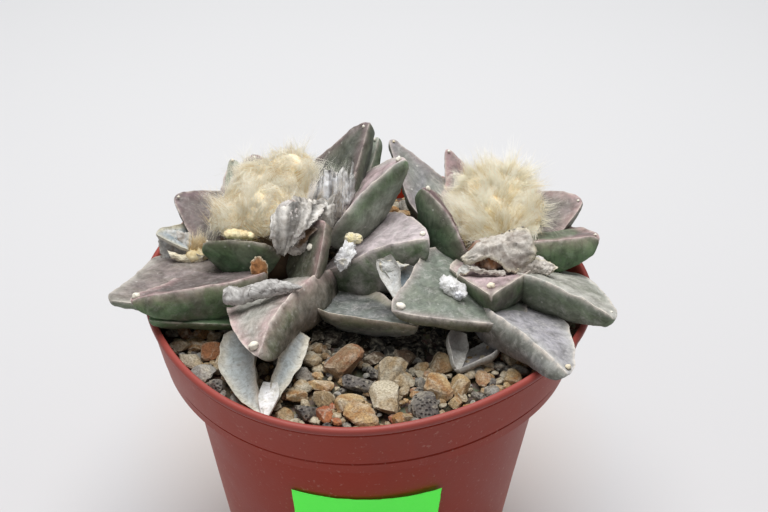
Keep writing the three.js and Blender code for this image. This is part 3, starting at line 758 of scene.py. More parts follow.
def growTubercle(bm, layers, shape, seed):
    start, forward, side, up, length = frameOf(shape)
    around, rows = skinMesh["around"], skinMesh["along"]
    turns = np.arange(around) / around * 2 * math.pi
    toneNames = [shape[key] for key in ("upper", "lower", "rim", "under")] + ["spring"]
    upperTone, lowerTone, rimTone, underTone, greenTone = (np.array(paint(*tones[n])) for n in toneNames)
    rings = {}
    for vert in bmesh.ops.create_grid(bm, x_segments=around, y_segments=rows, size=0.5)["verts"]:
        column = round((vert.co.x + 0.5) * around) % around
        row = round((vert.co.y + 0.5) * rows)
        along = 1 - (1 - row / rows) ** 1.25
        if row not in rings:
            closing = math.sqrt(max(1 - max((along - 0.94) / 0.06, 0) ** 2, 0)) if row else 0.001
            rings[row] = (closing, ringOf(shape, along, turns))
        closing, (sideways, lift, upper, rim, line) = rings[row]
        deep = shape["depth"] * depthShare(along)
        middle = -deep * 0.35
        reach = length * along
        bend = length * 4 * along * (along - 1)
        rise = middle + (lift[column] - middle) * closing + shape["curl"] * bend
        offset = sideways[column] * closing + shape["bow"] * bend
        place = (start + forward * reach + side * offset + up * rise) * mm
        push = 0.5 * relief(place, 9, seed, 3) + shape["rough"] * relief(place, 3.4, seed + 3, 3)
        outward = (side * offset * 0.6 + up * (rise - middle)).normalized() if closing > 0.01 else forward
        vert.co = place + outward * push * mm
        tone = upperTone if upper[column] else lowerTone
        if not upper[column]:
            # a green band below the margin
            below = deep * abs(math.sin(turns[column])) ** skinMesh["keelRoundness"]
            green = shape["green"] * math.exp(-(((below - 1.6) / 2.4) ** 2)) * min(2 * along, 1)
            tone = tone * (1 - green) + greenTone * green
        # darker towards the stem
        tone = tone * (0.66 + 0.34 * min(along / 0.35, 1))
        vert[layers["tone"]] = tone
        vert[layers["rimTone"]] = rimTone
        vert[layers["under"]] = tone * 0.4 + underTone * 0.6
        vert[layers["grain"]] = (offset, reach, 3.7 * seed, 1)
        vert[layers["rim"]] = float(rim[column]) * shape["blush"]
        vert[layers["line"]] = float(line[column]) * shape["chalkLine"]
        vert[layers["bloom"]] = shape["bloom"] * (1 if upper[column] else 0.75)


def growStem(bm, layers, head):
    radius, top, foot = head["radius"], head["top"], head["rootFoot"]
    profile = [
        (0, foot), (2, foot + 1), (radius * 0.45, foot + 20), (radius * 0.75, 78),
        (radius * 0.85, 85), (radius, 90), (radius * 0.85, top - 4), (radius * 0.45, top - 0.8), (0, top),
    ]
    lathe(bm, profile, 32, *head["axis"])
    for vert in bm.verts:
        for key in ("tone", "rimTone", "under"):
            vert[layers[key]] = paint(*tones["brown"])


def makeTubercles(node, shapes, skin, firstSeed, head=None):
    bm = bmesh.new()
    layers = addLayers(bm, "tone rimTone under grain", "rim line bloom")
    if head:
        growStem(bm, layers, head)
    for seed, shape in enumerate(shapes, firstSeed):
        growTubercle(bm, layers, shape, seed)
    closeSeams(bm)
    addPiece(plainName(node), bm, skin, node)


def makeHead(node, head, skin):
    shapes = [{**usual, **shape} for shape in head["tubercles"] + tuberclesBehind(head)]
    makeTubercles(node, shapes, skin, head["reliefSeed"], head)
    return shapes


# Areoles: a woolly knob near the tip of each tubercle

areole = {"radius": 0.78, "sizes": (0.9, 1.15), "lumps": 0.28, "squash": 0.8, "seed": 31}


def makeAreoles(name, node, shapes, material):
    bm = bmesh.new()
    bmesh.ops.create_icosphere(bm, subdivisions=3, radius=1)
    mesh, single = copiesOf(bm, len(shapes))
    stream = random(areole["seed"])
    places = []
    for i, shape in enumerate(shapes, 1):
        start, forward, side, up, length = frameOf(shape)
        along = shape["areole"]
        bend = length * 4 * along * (along - 1)
        size = areole["radius"] * shape["knob"] * stream.uniform(*areole["sizes"])
        middle = start + forward * length * along + side * shape["bow"] * bend
        middle = middle + up * (0.15 + shape["curl"] * bend)
        lumpy = np.array([[1 + areole["lumps"] * relief(point * mm, 0.8, i, 3)] for point in single])
        local = single * lumpy * size * [1, 1, areole["squash"]]
        places.append((local @ np.array([side, forward, up]) + np.array(middle)) * mm)
    setPoints(mesh, np.concatenate(places))
    setValues(mesh, "along", np.tile((single[:, 2] + 1) / 2, len(shapes)))
    setValues(mesh, "hue", np.repeat(stream.uniform(size=len(shapes)), len(single)))
    addMesh(name, mesh, material, node)


# Hairs: thin tapered strands in clumps, each clump drawn together towards its end

def strandShape():
    # a cone of three sides, cut twice across so that it can bend
    bm = bmesh.new()
    bmesh.ops.create_cone(
        bm, cap_ends=True, segments=3, radius1=1, radius2=0, depth=1, matrix=Matrix.Translation((0, 0, 0.5)),
    )
    for level in (0.34, 0.68):
        whole = bm.verts[:] + bm.edges[:] + bm.faces[:]
        bmesh.ops.bisect_plane(bm, geom=whole, plane_co=(0, 0, level), plane_no=(0, 0, 1))
    return bm


def makeHairs(name, node, design, roots, ways, seed, material, warmer=0):
    # roots and ways are one row a clump; warmer is how much each clump leans to the warm colour, which the
    # wool uses as painted shade near its foot
    stream = random(seed)
    clumps, each = len(roots), design["each"]
    count = clumps * each
    mesh, single = copiesOf(strandShape(), count)
    clumpOf = np.repeat(np.arange(clumps), each)
    ways = unit(ways)
    bend = randomWays(stream, clumps) * design["bend"]
    length = stream.uniform(*design["length"], clumps)[clumpOf] * stream.uniform(0.65, 1.1, count)
    first, second = acrossOf(ways)
    angle = stream.uniform(0, 2 * math.pi, count)
    spread = np.sqrt(stream.uniform(0, 1, count)) * design["spread"]
    offset = first[clumpOf] * (np.cos(angle) * spread)[:, None]
    offset = offset + second[clumpOf] * (np.sin(angle) * spread)[:, None]
    stray = stream.normal(size=(count, 3)) * design["stray"]
    wave = randomWays(stream, count) * design["wave"]
    phase = stream.uniform(0, 2 * math.pi, count)
    # one row a hair and one column a point of the strand; t runs along it
    t = single[:, 2][None, :, None]
    run = length[:, None, None]
    middle = (
        roots[clumpOf][:, None, :]
        + (ways[clumpOf][:, None, :] + stray[:, None, :] * t) * run * t
        + bend[clumpOf][:, None, :] * run * t ** 2
        + offset[:, None, :] * (1 - design["gather"] * t)
        + wave[:, None, :] * np.sin(phase[:, None, None] + t * design["turns"]) * run * 0.1 * t
    )
    thick = design["thickness"] * (1 - 0.7 * t) / 2
    firstEach, secondEach = acrossOf(unit(ways[clumpOf] + stray * 0.5))
    body = firstEach[:, None, :] * single[None, :, 0:1] + secondEach[:, None, :] * single[None, :, 1:2]
    setPoints(mesh, (middle + body * thick).reshape(-1, 3) * mm)
    setValues(mesh, "along", np.tile(single[:, 2], count))
    hue = np.clip((stream.uniform(0, 1, clumps) + warmer)[clumpOf] + stream.normal(0, 0.12, count), 0, 1)
    setValues(mesh, "hue", np.repeat(hue, len(single)))
    addMesh(name, mesh, material, node)


# Wool of the crowns: hairs on soft lumps, each with its x, y, z, radius and squash

wool = {
    "left": {
        "lumps": [
            (-23.5, 14, 101, 11.5, 0.7), (-19, 19, 106.5, 6.5, 1), (-25, 17, 104.5, 6.5, 1),
            (-31.5, 8, 101, 5, 1), (-23.5, 8, 103.5, 6, 1),
        ],
        "clumps": 400, "each": 25, "length": (3.2, 6.8), "spread": 1.7, "gather": 0.6, "bend": 0.7,
        "stray": 0.16, "wave": 1.4, "turns": 5, "thickness": 0.13, "stand": 0.34, "lie": 1.0, "rise": 0.3,
        "shadedBrownBelow": 7.5, "seed": 41, "swirl": 22,
    },
    "right": {
        "lumps": [
            (30.5, 11, 100.5, 10.5, 0.7), (28, 15, 104.5, 6, 1), (34, 15, 105, 6, 1),
            (37.5, 9, 102, 5, 1), (29, 6, 102, 4.6, 1),
        ],
        "clumps": 400, "each": 25, "length": (3.2, 7.4), "spread": 1.5, "gather": 0.75, "bend": 0.45,
        "stray": 0.16, "wave": 0.9, "turns": 4, "thickness": 0.13, "stand": 0.6, "lie": 0.75, "rise": 0.55,
        "shadedBrownBelow": 7, "seed": 42, "swirl": 13,
    },
}


def woolRoots(design):
    # spread over the outside of the lumps; each clump lies down along a slow swirl
    stream = random(design["seed"])
    noise.seed_set(design["swirl"])  # the swirl would otherwise differ from run to run
    lumps = np.array(design["lumps"])
    shares = lumps[:, 3] ** 2 / np.sum(lumps[:, 3] ** 2)
    swirlPlace = Vector((design["seed"], 0, 0))
    roots, ways = [], []
    while len(roots) < design["clumps"]:
        lump = lumps[stream.choice(len(lumps), p=shares)]
        out = randomWays(stream, 1)[0]
        root = lump[:3] + out * lump[3] * [1, 1, lump[4]] * 0.87
        buried = [np.linalg.norm((root - other[:3]) / [1, 1, other[4]]) < other[3] * 0.8 for other in lumps]
        if out[2] < -0.35 or any(buried):
            continue
        swirl = np.cross(out, noise.noise_vector(Vector(root) / 8 + swirlPlace))
        roots.append(root)
        ways.append(out * design["stand"] + unit(swirl) * design["lie"] + [0, 0, design["rise"]])
    roots = np.array(roots)
    # painted shade: clumps near the foot of the wool lean to the warm brown
    lowest = np.min(lumps[:, 2] - lumps[:, 3] * lumps[:, 4])
    low = np.clip((lowest + design["shadedBrownBelow"] - roots[:, 2]) / 4, 0, 1)
    return roots, np.array(ways), low


def woolMat():
    # the matted mass under the hairs: pale swirls, with painted shade that turns them golden and brown low
    # down, and a painted glow
    mat = Finish("woolMat", 0.95, {
        "Subsurface Weight": 0.3, "Subsurface Radius": (1.0, 0.8, 0.5), "Subsurface Scale": 1.6 * mm,
    })
    swirls = mat.noise(170, 7, 0.62, 2.6)
    color = mat.mix(mat.ramp(swirls, 0.3, 0.56), (238, 214, 166), (248, 238, 212))
    # painted shade: browner near the foot of the wool and in the dips of the swirls
    color = mat.mix(mat.times(mat.read("depth"), mat.ramp(swirls, 0.62, 0.36)), color, (150, 108, 64))
    threads = mat.noise(900, 5, 0.7, 3.0)
    color = mat.shade(color, mat.ramp(threads, 0.3, 0.6), (206, 194, 168))
    mat.bump(swirls, 0.9, 0.5)
    mat.bump(threads, 0.2, 0.8)
    # painted glow: emission for the light that spreads through the wool
    mat.glow(color, 0.1)
    return mat.finish(color)


def makeCore(name, material, node, lumps, roughen, scale, detail=4, seed=3, warm=(), share=0.9):
    # round masses that run into one another, with an uneven skin; warm names the stained ones
    bm = bmesh.new()
    layers = addLayers(bm, "", "warmth depth")
    lowest = min(z - radius * squash for _, _, z, radius, squash in lumps)
    for i, (x, y, z, radius, squash) in enumerate(lumps):
        middle = Vector((x, y, z)) * mm
        place = Matrix.Translation(middle) @ Matrix.Diagonal((1, 1, squash, 1))
        made = bmesh.ops.create_icosphere(bm, subdivisions=detail, radius=radius * mm * share, matrix=place)
        for vert in made["verts"]:
            # depth is 1 near the foot of the lumps; the wool's material paints shade with it
            vert[layers["depth"]] = min(max((lowest + 7 - vert.co.z / mm) / 6, 0), 1)
            out = (vert.co - middle).normalized()
            fine = relief(vert.co, scale * 0.3, seed + i + 9, 3)
            push = folded(vert.co, scale, seed + i) * 0.8 + fine * 0.35
            vert.co += out * push * roughen * mm
            vert[layers["warmth"]] = 1 if i in warm else max(0, relief(vert.co, 3, seed + 2, 2)) * 0.6
    addPiece(name, bm, material, node)


def makeWool(side, material, base):
    node, design = "wool_" + side, wool[side]
    makeCore(plainName(node, "Core"), base, node, design["lumps"], 0.7, 4.2, share=0.8)
    roots, ways, low = woolRoots(design)
    makeHairs(plainName(node), node, design, roots, ways, design["seed"] + 5, material, low)


# Flakes: thin dry sheets, each drawn between an upper and a lower line

flake = {"along": 40, "down": 24, "thickness": 0.2, "crumple": 0.42, "torn": 0.8, "threads": 0, "edge": 0.07}


def sheet(upper, lower, toneNames, bulge, **more):
    # the tones are those of the sheet, its clouds and its rim; it takes what flake says otherwise
    named = dict(zip(("tone", "under", "rimTone"), toneNames.split()))
    return {**flake, "upper": upper, "lower": lower, "bulge": bulge, **named, **more}


flakes = {
    "dried_flower_left": [
        # fibrous sheets that stand up, and in front of them a dark brown sheet for the hollow, partly dried
        # tissue and partly painted shade
        sheet([(-12.4, 7, 110), (-10.2, 8, 113.2), (-8.3, 8.5, 115.4), (-6.7, 9, 113.2), (-4.9, 9.5, 114.2),
            (-4, 9.5, 111.8), (-3, 10, 116.4)], [(-14, 4, 103.1), (-11.2, 4.5, 101.7), (-8.4, 5, 101.9),
            (-6.1, 6, 101.9), (-4.2, 7, 104), (-2.4, 9, 107.2)], "white paleDry chalk", 0.8, threads=12,
            torn=2.2, crumple=0.5),
        sheet([(-19, 3, 109.1), (-16, 3.5, 110.2), (-13.3, 4, 109.4), (-10.1, 5, 109), (-7.4, 6, 109)],
            [(-18.8, 2.2, 106.2), (-16.2, 2.4, 103.4), (-13.5, 2.2, 101), (-10.7, 3, 99.8),
            (-7.4, 4, 100.8)], "paleDry dryGrey dryGrey", 1.3, threads=11, torn=1.6, crumple=0.42),
        sheet([(-21.5, -1.5, 108.1), (-19.6, -1, 110.4), (-16, 0.4, 110.8), (-12.6, 2.6, 109.4),
            (-9.2, 3.8, 107.6)], [(-21.3, -4, 102.6), (-20.3, -4.5, 100), (-18.7, -4.5, 98.5),
            (-16.8, -4, 101.3), (-14.2, -1.9, 104.6)], "paleDry dryGrey paleDry", 1.3, crumple=0.2,
            threads=4, torn=1.6),
        # a dark brown sheet where the hollow lies in shade: partly the dried tissue's own brown, partly
        # painted shade
        sheet([(-14, -1.6, 105), (-12.3, 0.5, 104.2), (-10.9, -1, 104.3)], [(-16.3, -3.4, 101.1),
            (-15.1, -3.1, 100.5), (-13.4, -2, 101.6)], "darkBrown brown dryShade", 0.2, crumple=0.2),
    ],
    "wool_tuft_left": [
        sheet([(-4.4, -3, 102.7), (-2.6, -3.3, 101.4), (-2.1, -3.8, 100.1)], [(-7.2, -4.4, 98.4),
            (-6.5, -5.4, 96.5), (-4.9, -5.9, 96.3)], "white chalk white", 1.0, crumple=0.12, torn=1.3),
        sheet([(-4.7, -0.8, 102.3), (-3.1, 0, 102.7), (-1, 0, 102.2)], [(-4.7, -1.8, 101.3),
            (-2.6, -2, 100.8), (-0.8, -1.2, 101.3)], "yellow dryGrey bone", 0.5, crumple=0.12),
    ],
    "dried_flower_front": [
        # a rust-brown flake against the tubercle behind the stalk
        sheet([(-26.2, -5.2, 98.2), (-24.6, -5.4, 99.8), (-22.8, -4.8, 98.2)], [(-26, -7, 94.4),
            (-24.2, -8.6, 93.6), (-22.6, -5.6, 93.6)], "rust brown bone", 0.5, crumple=0.2, torn=0.8),
    ],
    "old_tubercle_left": [
        # an old leaf base, and a sheath with a pale edge in front of it
        sheet([(-49.7, 9, 97.1), (-45.8, 9, 97.7), (-42.4, 9, 96.2)], [(-47.9, 7, 95), (-45.3, 7, 93.6),
            (-41.2, 7, 92)], "chalk blueAsh ash", 0.8, crumple=0.2),
        sheet([(-47.3, 4, 94.8), (-44.3, 4, 93.8), (-41, 4, 93.6), (-38.1, 4, 94.4)], [(-46.1, 2.5, 93.2),
            (-43.4, 2.5, 92.2), (-40.8, 2.5, 92), (-38.4, 2.5, 92.6)], "bone dryGrey cream", 0.9,
            crumple=0.25),
        sheet([(-50.1, 9, 96.3), (-46.6, 9, 97.1), (-42.1, 8, 97.5)], [(-49, 6, 90.6), (-44.8, 5, 90.2),
            (-40.3, 4, 90.2), (-38.3, 4, 91.6)], "ash dryShade dryGrey", 0.8, crumple=0.3),
    ],
    "dried_flower_right": [
        # the hood over the hollow, its lip, and the torn ends on both sides
        sheet([(22.4, -8, 100.7), (25.3, -6, 104), (28.8, -5, 104.9), (32.8, -4.5, 106.1), (35, -5, 107.7),
            (36.7, -5.5, 107.8), (38, -6.5, 104.5)], [(22.8, -9.8, 100.4), (25.4, -10.4, 101.6),
            (27.2, -10.2, 102.6), (30, -10.6, 101.8), (31.8, -11, 99.7), (34.1, -11, 99),
            (37.4, -9.4, 100.6)], "dryGrey dryShade bone", 1.5),
        sheet([(25.3, -5.6, 104), (28.8, -4.6, 104.9), (32.8, -4.1, 106.1), (36.7, -5.1, 107.8)],
            [(24, -1.5, 99), (28, -1, 99), (33, -1, 99), (38, -2.5, 99)], "dryGrey dryShade dryGrey", -1.0),
        sheet([(22.8, -9.6, 100.9), (25.9, -10.4, 100.2), (28.9, -10.9, 99.9), (31.6, -11, 99.7)],
            [(23.3, -10.3, 99.6), (25.9, -11.3, 99.2), (28.8, -11.7, 99.1), (31.5, -11.8, 98.9)],
            "dryGrey dryShade dryGrey", 0.5),
        sheet([(36.1, -8, 103), (38.6, -8.5, 101.9), (41.9, -8.5, 100.6), (43.5, -9, 99.5)],
            [(33.4, -11, 99.2), (36.9, -11.4, 98), (39.9, -10.6, 98.4), (42.1, -10.4, 98.8)],
            "dryGrey dryShade bone", 0.7),
        sheet([(20.6, -10.2, 98.9), (21.9, -9.5, 100.3), (23.6, -8.8, 101.2)], [(20.8, -11.2, 98.2),
            (22.6, -11.3, 99), (24.8, -10.8, 100)], "chalk dryGrey bone", 0.3, crumple=0.15),
    ],
    "wool_tuft_right": [
        sheet([(17, -14.3, 101.1), (20.1, -15.3, 101), (22, -16.3, 99.9), (23.2, -17.3, 98.1)],
            [(16.8, -16.1, 99), (18, -17.3, 97.7), (19.9, -17.9, 97.1), (21.5, -18.3, 96.8)],
            "white chalk ash", 0.6, crumple=0.08, torn=0.9),
    ],
    "dry_scrap_middle": [
        sheet([(3.4, -7.4, 99.6), (4.5, -7, 100), (6.4, -7, 100), (8.4, -8, 99.7), (10.2, -8.4, 99.6)],
            [(3.4, -9, 98.6), (4.3, -9.7, 97.8), (5.5, -10.2, 97.1), (7.1, -9.4, 97.8), (9.3, -9, 99)],
            "ash paleMoss bone", 0.9, crumple=0.22),
        sheet([(3.4, -9, 98.6), (4.3, -9.7, 97.9), (5.7, -9.8, 96.9), (6.8, -9.2, 97.1)], [(5, -12, 95.7),
            (5.7, -12.8, 94.8), (6.4, -12, 94.8), (7.3, -10.4, 96.5)], "blueAsh bone chalk", 0.5,
            crumple=0.2),
    ],
}


def lineAt(points, share):
    steps = np.linspace(0, 1, len(points))
    return Vector([float(np.interp(share, steps, [point[k] for point in points])) for k in range(3)])


def makeFlakes(node, sheets, material, firstSeed):
    bm = bmesh.new()
    layers = addLayers(bm, "tone under rimTone", "rim")
    columns = flake["along"]
    for seed, design in enumerate(sheets, firstSeed):
        upper, lower, threads = design["upper"], design["lower"], design["threads"]
        made = bmesh.ops.create_grid(bm, x_segments=2 * columns, y_segments=flake["down"], size=0.5)
        for vert in made["verts"]:
            # the grid goes along the front and comes home along the back
            turn = round((vert.co.x + 0.5) * 2 * columns) % (2 * columns)
            along, down = 1 - abs(turn / columns - 1), vert.co.y + 0.5
            top, foot = lineAt(upper, along), lineAt(lower, along)
            flow = lineAt(upper, min(along + 0.1, 1)) - lineAt(upper, max(along - 0.1, 0))
            out = (foot - top).cross(flow).normalized()
            place = top + (foot - top) * down + out * design["bulge"] * math.sin(math.pi * down)
            if threads:
                # long folds and streaks that run from the upper line to the lower one
                folds = 1.3 * relief((along * threads * mm, down * mm, 0), 1, seed)
                streak = 0.8 + 0.7 * relief((along * threads * 2 * mm, 0.8 * down * mm, 0), 1, seed + 2, 3)
            else:
                folds, streak = folded(place * mm, 3.2, seed), 1
            place += out * design["crumple"] * (folds + 0.8 * relief(place * mm, 1.3, seed + 3))
            ragged = (foot - top).normalized() * (down - 0.5) + flow.normalized() * (along - 0.5)
            place += ragged * design["torn"] * relief(place * mm, 1.3, seed + 6, 3)
            inward = min(along, 1 - along, down, 1 - down)
            side = 0.5 if turn < columns else -0.5
            place += out * side * flake["thickness"] * math.sqrt(min(inward / 0.06, 1))
            vert.co = place * mm
            vert[layers["rim"]] = math.exp(-((inward / flake["edge"]) ** 2))
            for key in ("tone", "under", "rimTone"):
                vert[layers[key]] = [min(max(value * streak, 0), 1) for value in paint(*tones[design[key]])]
    closeSeams(bm)
    addPiece(plainName(node, "Flakes"), bm, material, node)


# Withered stalk: a tube along its spine, folded and cracked

rod = {
    "around": 44, "along": 70, "seed": 81,
    # x, y, z and radius along its line
    "spine": [
        (-31.0, -20.2, 98.9, 0.3), (-30.7, -20.2, 98.9, 1.4), (-29.4, -20.0, 99.0, 2.0),
        (-27.4, -20.2, 99.1, 1.8), (-25.2, -19.8, 99.4, 1.55), (-22.8, -19.2, 100.0, 1.8),
        (-20.0, -18.7, 100.4, 1.7), (-17.0, -18.6, 100.4, 1.05), (-14.6, -18.4, 100.3, 0.5),
        (-13.6, -18.4, 100.4, 0.1),
    ],
}


def makeRod(name, node, material):
    bm = bmesh.new()
    layers = addLayers(bm, "", "warmth")
    spine = np.array(rod["spine"])
    steps = np.linspace(0, 1, len(spine))
    around, seed = rod["around"], rod["seed"]

    def spineAt(along):
        share = min(max(along, 0), 1)
        return [float(np.interp(share, steps, spine[:, k])) for k in range(4)]

    for vert in bmesh.ops.create_grid(bm, x_segments=around, y_segments=rod["along"], size=0.5)["verts"]:
        turn = 2 * math.pi * (round((vert.co.x + 0.5) * around) % around) / around
        along = vert.co.y + 0.5
        *place, radius = spineAt(along)
        forward = np.array(spineAt(along + 0.04)[:3]) - np.array(spineAt(along - 0.04)[:3])
        forward = Vector(forward).normalized()
        side = Vector((0, 0, 1)).cross(forward).normalized()
        out = side * math.cos(turn) + forward.cross(side) * math.sin(turn)
        place = Vector(place) + out * radius
        folds = 0.32 * folded(place * mm, 2.8, seed)
        place += out * min(radius, 1) * (folds + 0.16 * relief(place * mm, 0.8, seed + 4, 3))
        vert.co = place * mm
        vert[layers["warmth"]] = 0.1
    closeSeams(bm)
    addPiece(name, bm, material, node)


# Old papery tubercles at the foot of the heads

papery = {
    "depth": 1.8, "dish": 1.4, "shell": 1.0, "ridge": 0.5, "rough": 0.12, "blush": 0.9, "bloom": 0.6,
    "rimWidth": 1.3, "green": 0,
}
oldTubercles = {
    "old_tubercle_front": [
        tubercle((-28.6, -19.5, 90.4), (-20.8, -44.7, 86.7), 8.5, "palePaper bone cream ash", roll=24,
            bow=0.08, dish=1.8),
        tubercle((-13.3, -21.7, 90.5), (-19.8, -44.8, 86.5), 5.4, "paperBlue bone cream ash", roll=-33,
            bow=0.02, dish=1.0),
        tubercle((-19.6, -36.5, 88.6), (-20.4, -46, 85.8), 4.6, "white bone chalk bone", depth=3.5,
            dish=-0.6),
    ],
    "old_tubercle_left": [
        tubercle((-34, 10, 94), (-50, 7, 98), 13, "blueAsh ash bone ash", roll=-10, depth=4),
    ],
    "dry_scrap_front": [
        tubercle((29, -21, 87), (20, -29, 86), 8, "lilac slate chalk dryShade", roll=25),
        tubercle((21, -20, 90), (20.5, -29, 86), 6, "ash slate chalk dryShade", roll=-40),
    ],
    "dry_scrap_middle": [
        tubercle((12, -12.5, 96), (3.5, -8, 100.5), 7, "blueAsh bone chalk ash", roll=-25, dish=2),
        tubercle((4, -7, 101), (8, -18, 96.5), 5, "ash bone chalk blueAsh", roll=20, dish=1.5),
    ],
}


def makeOld(node, shapes, skin, firstSeed):
    makeTubercles(node, [{**usual, **papery, **shape} for shape in shapes], skin, firstSeed)


# Dried clumps and tufts: lumps with the x, y, z, radius and squash of each

cores = {
    "driedFlowerLeft": {
        "node": "dried_flower_left", "roughen": 0.42, "scale": 1.5, "detail": 5, "seed": 71,
        "lumps": [
            (-17.4, 1.2, 106.2, 3.6, 1.2), (-17, 0.6, 102.6, 4.3, 1.1), (-16.2, 0.4, 99.8, 3.2, 1),
            (-19.2, 1.6, 104, 3, 1.2), (-12.8, 4.2, 104.8, 3.3, 0.9),
        ],
    },
    "driedFibreBase": {
        "node": "dried_flower_left", "roughen": 0.6, "scale": 1.8, "seed": 72,
        "lumps": [(-11, 6.4, 105.4, 2.8, 1), (-8.2, 9, 106, 2.4, 1.3), (-7.5, 13, 108, 2, 1.5)],
    },
    "driedFlowerRight": {
        "node": "dried_flower_right", "roughen": 0.6, "scale": 1.8, "seed": 78, "warm": (0, 4),
        "lumps": [
            (26.5, -5.4, 100.9, 3, 1), (31, -5.6, 101.8, 3.6, 1), (35.3, -5.4, 102.6, 2.7, 1.4),
            (39, -8, 99.3, 2.2, 1), (28.6, -8.2, 100.4, 2.4, 1),
        ],
    },
    "creamCrumbs": {
        "node": "dried_flower_left", "roughen": 0.25, "scale": 1.0, "detail": 3, "seed": 87,
        "lumps": [
            (-31.6, 0, 102.2, 1.3, 0.8), (-30.4, 0, 102.3, 1.4, 0.8), (-29.2, 0, 102.2, 1.4, 0.75),
            (-28, 0, 102, 1.3, 0.75), (-26.8, 0, 101.7, 1.1, 0.8),
        ],
    },
    "creamTuft": {
        "node": "old_tubercle_left", "roughen": 0.6, "scale": 1.2, "detail": 3, "seed": 88,
        "lumps": [(-41, 4, 93.4, 2, 0.9), (-39.2, 4.4, 93.8, 1.8, 1)],
    },
    "woolTuftLeft": {
        "node": "wool_tuft_left", "roughen": 0.4, "scale": 1.0, "seed": 83, "warm": (3, 4),
        "lumps": [
            (-5.2, -4.2, 97.7, 1.9, 1.1), (-4.5, -2.9, 98.9, 1.6, 1.1), (-3.6, -1.6, 100.1, 1.4, 1),
            (-3.4, -0.4, 101.6, 1.4, 0.8), (-2, -0.4, 101.3, 1.3, 0.8),
        ],
    },
    "woolTuftRight": {
        "node": "wool_tuft_right", "roughen": 0.4, "scale": 1.0, "seed": 85,
        "lumps": [(19.9, -16.4, 99.1, 1.2, 1), (20.9, -17.8, 98.1, 0.9, 1)],
    },
}

# Loose dry hairs: where they start and where they lead

fibres = {
    # stiff pale fibres that stand up along a tubercle
    "driedFibres": {
        "feet": [(-14, 3.6, 104.5), (-9, 5, 104), (-5.6, 6, 102.5)],
        "heads": [(-12, 8, 112), (-8, 10, 115.5), (-3.4, 10.5, 116)],
        "clumps": 70, "each": 24, "length": (4, 8), "spread": 1.0, "gather": 0.5, "bend": 0.3,
        "stray": 0.1, "wave": 0.8, "turns": 3, "thickness": 0.16, "seed": 75,
    },
    # a fringe of cream hairs at the left, behind the sheath
    "creamFringe": {
        "feet": [(-41.8, 4.2, 92.6), (-38, 4.4, 93)], "heads": [(-41.2, 4.6, 98), (-38.6, 5, 99.4)],
        "clumps": 24, "each": 22, "length": (3, 6), "spread": 0.8, "gather": 0.7, "bend": 0.3,
        "stray": 0.12, "wave": 0.8, "turns": 3, "thickness": 0.16, "seed": 89,
    },
}


def makeFibres(name, node, material):
    design = fibres[name]
    stream = random(design["seed"])
    roots, ways = [], []
    for _ in range(design["clumps"]):
        share = stream.uniform()
        foot, head = lineAt(design["feet"], share), lineAt(design["heads"], share)
        way = head - foot
        roots.append(foot + way * stream.uniform(0, 0.45) + Vector(randomWays(stream, 1)[0]) * 0.5)
        ways.append(way.normalized())
    makeHairs(name, node, design, np.array(roots), np.array(ways), design["seed"] + 1, material)


# Stones

stoneTones = {
    # the body and its stains
    "ochre": ((186, 160, 118), (158, 116, 70)),
    "beige": ((190, 180, 158), (160, 138, 104)),
    "rust": ((172, 142, 108), (142, 94, 60)),
    "orange": ((188, 126, 80), (156, 90, 58)),
    "grey": ((156, 154, 148), (122, 114, 104)),
    "lava": ((98, 93, 90), (132, 126, 118)),
}
gravel = {
    "level": 84, "fall": 0.3, "reach": 48.5, "seed": 12,
    "large": 210, "largeSize": (3.2, 5.8), "small": 1300, "smallSize": (1.3, 3.2),
    "kinds": ("ochre", "beige", "rust", "grey", "lava", "orange"),
    "shares": (0.29, 0.38, 0.11, 0.14, 0.06, 0.02),
}
# painted shade: the stones under the right head are darkened where its shadow falls
shadeUnderHead = {"x": 8, "y": -6, "stretch": 1.3, "reach": 22, "fade": 6, "dark": 0.8}
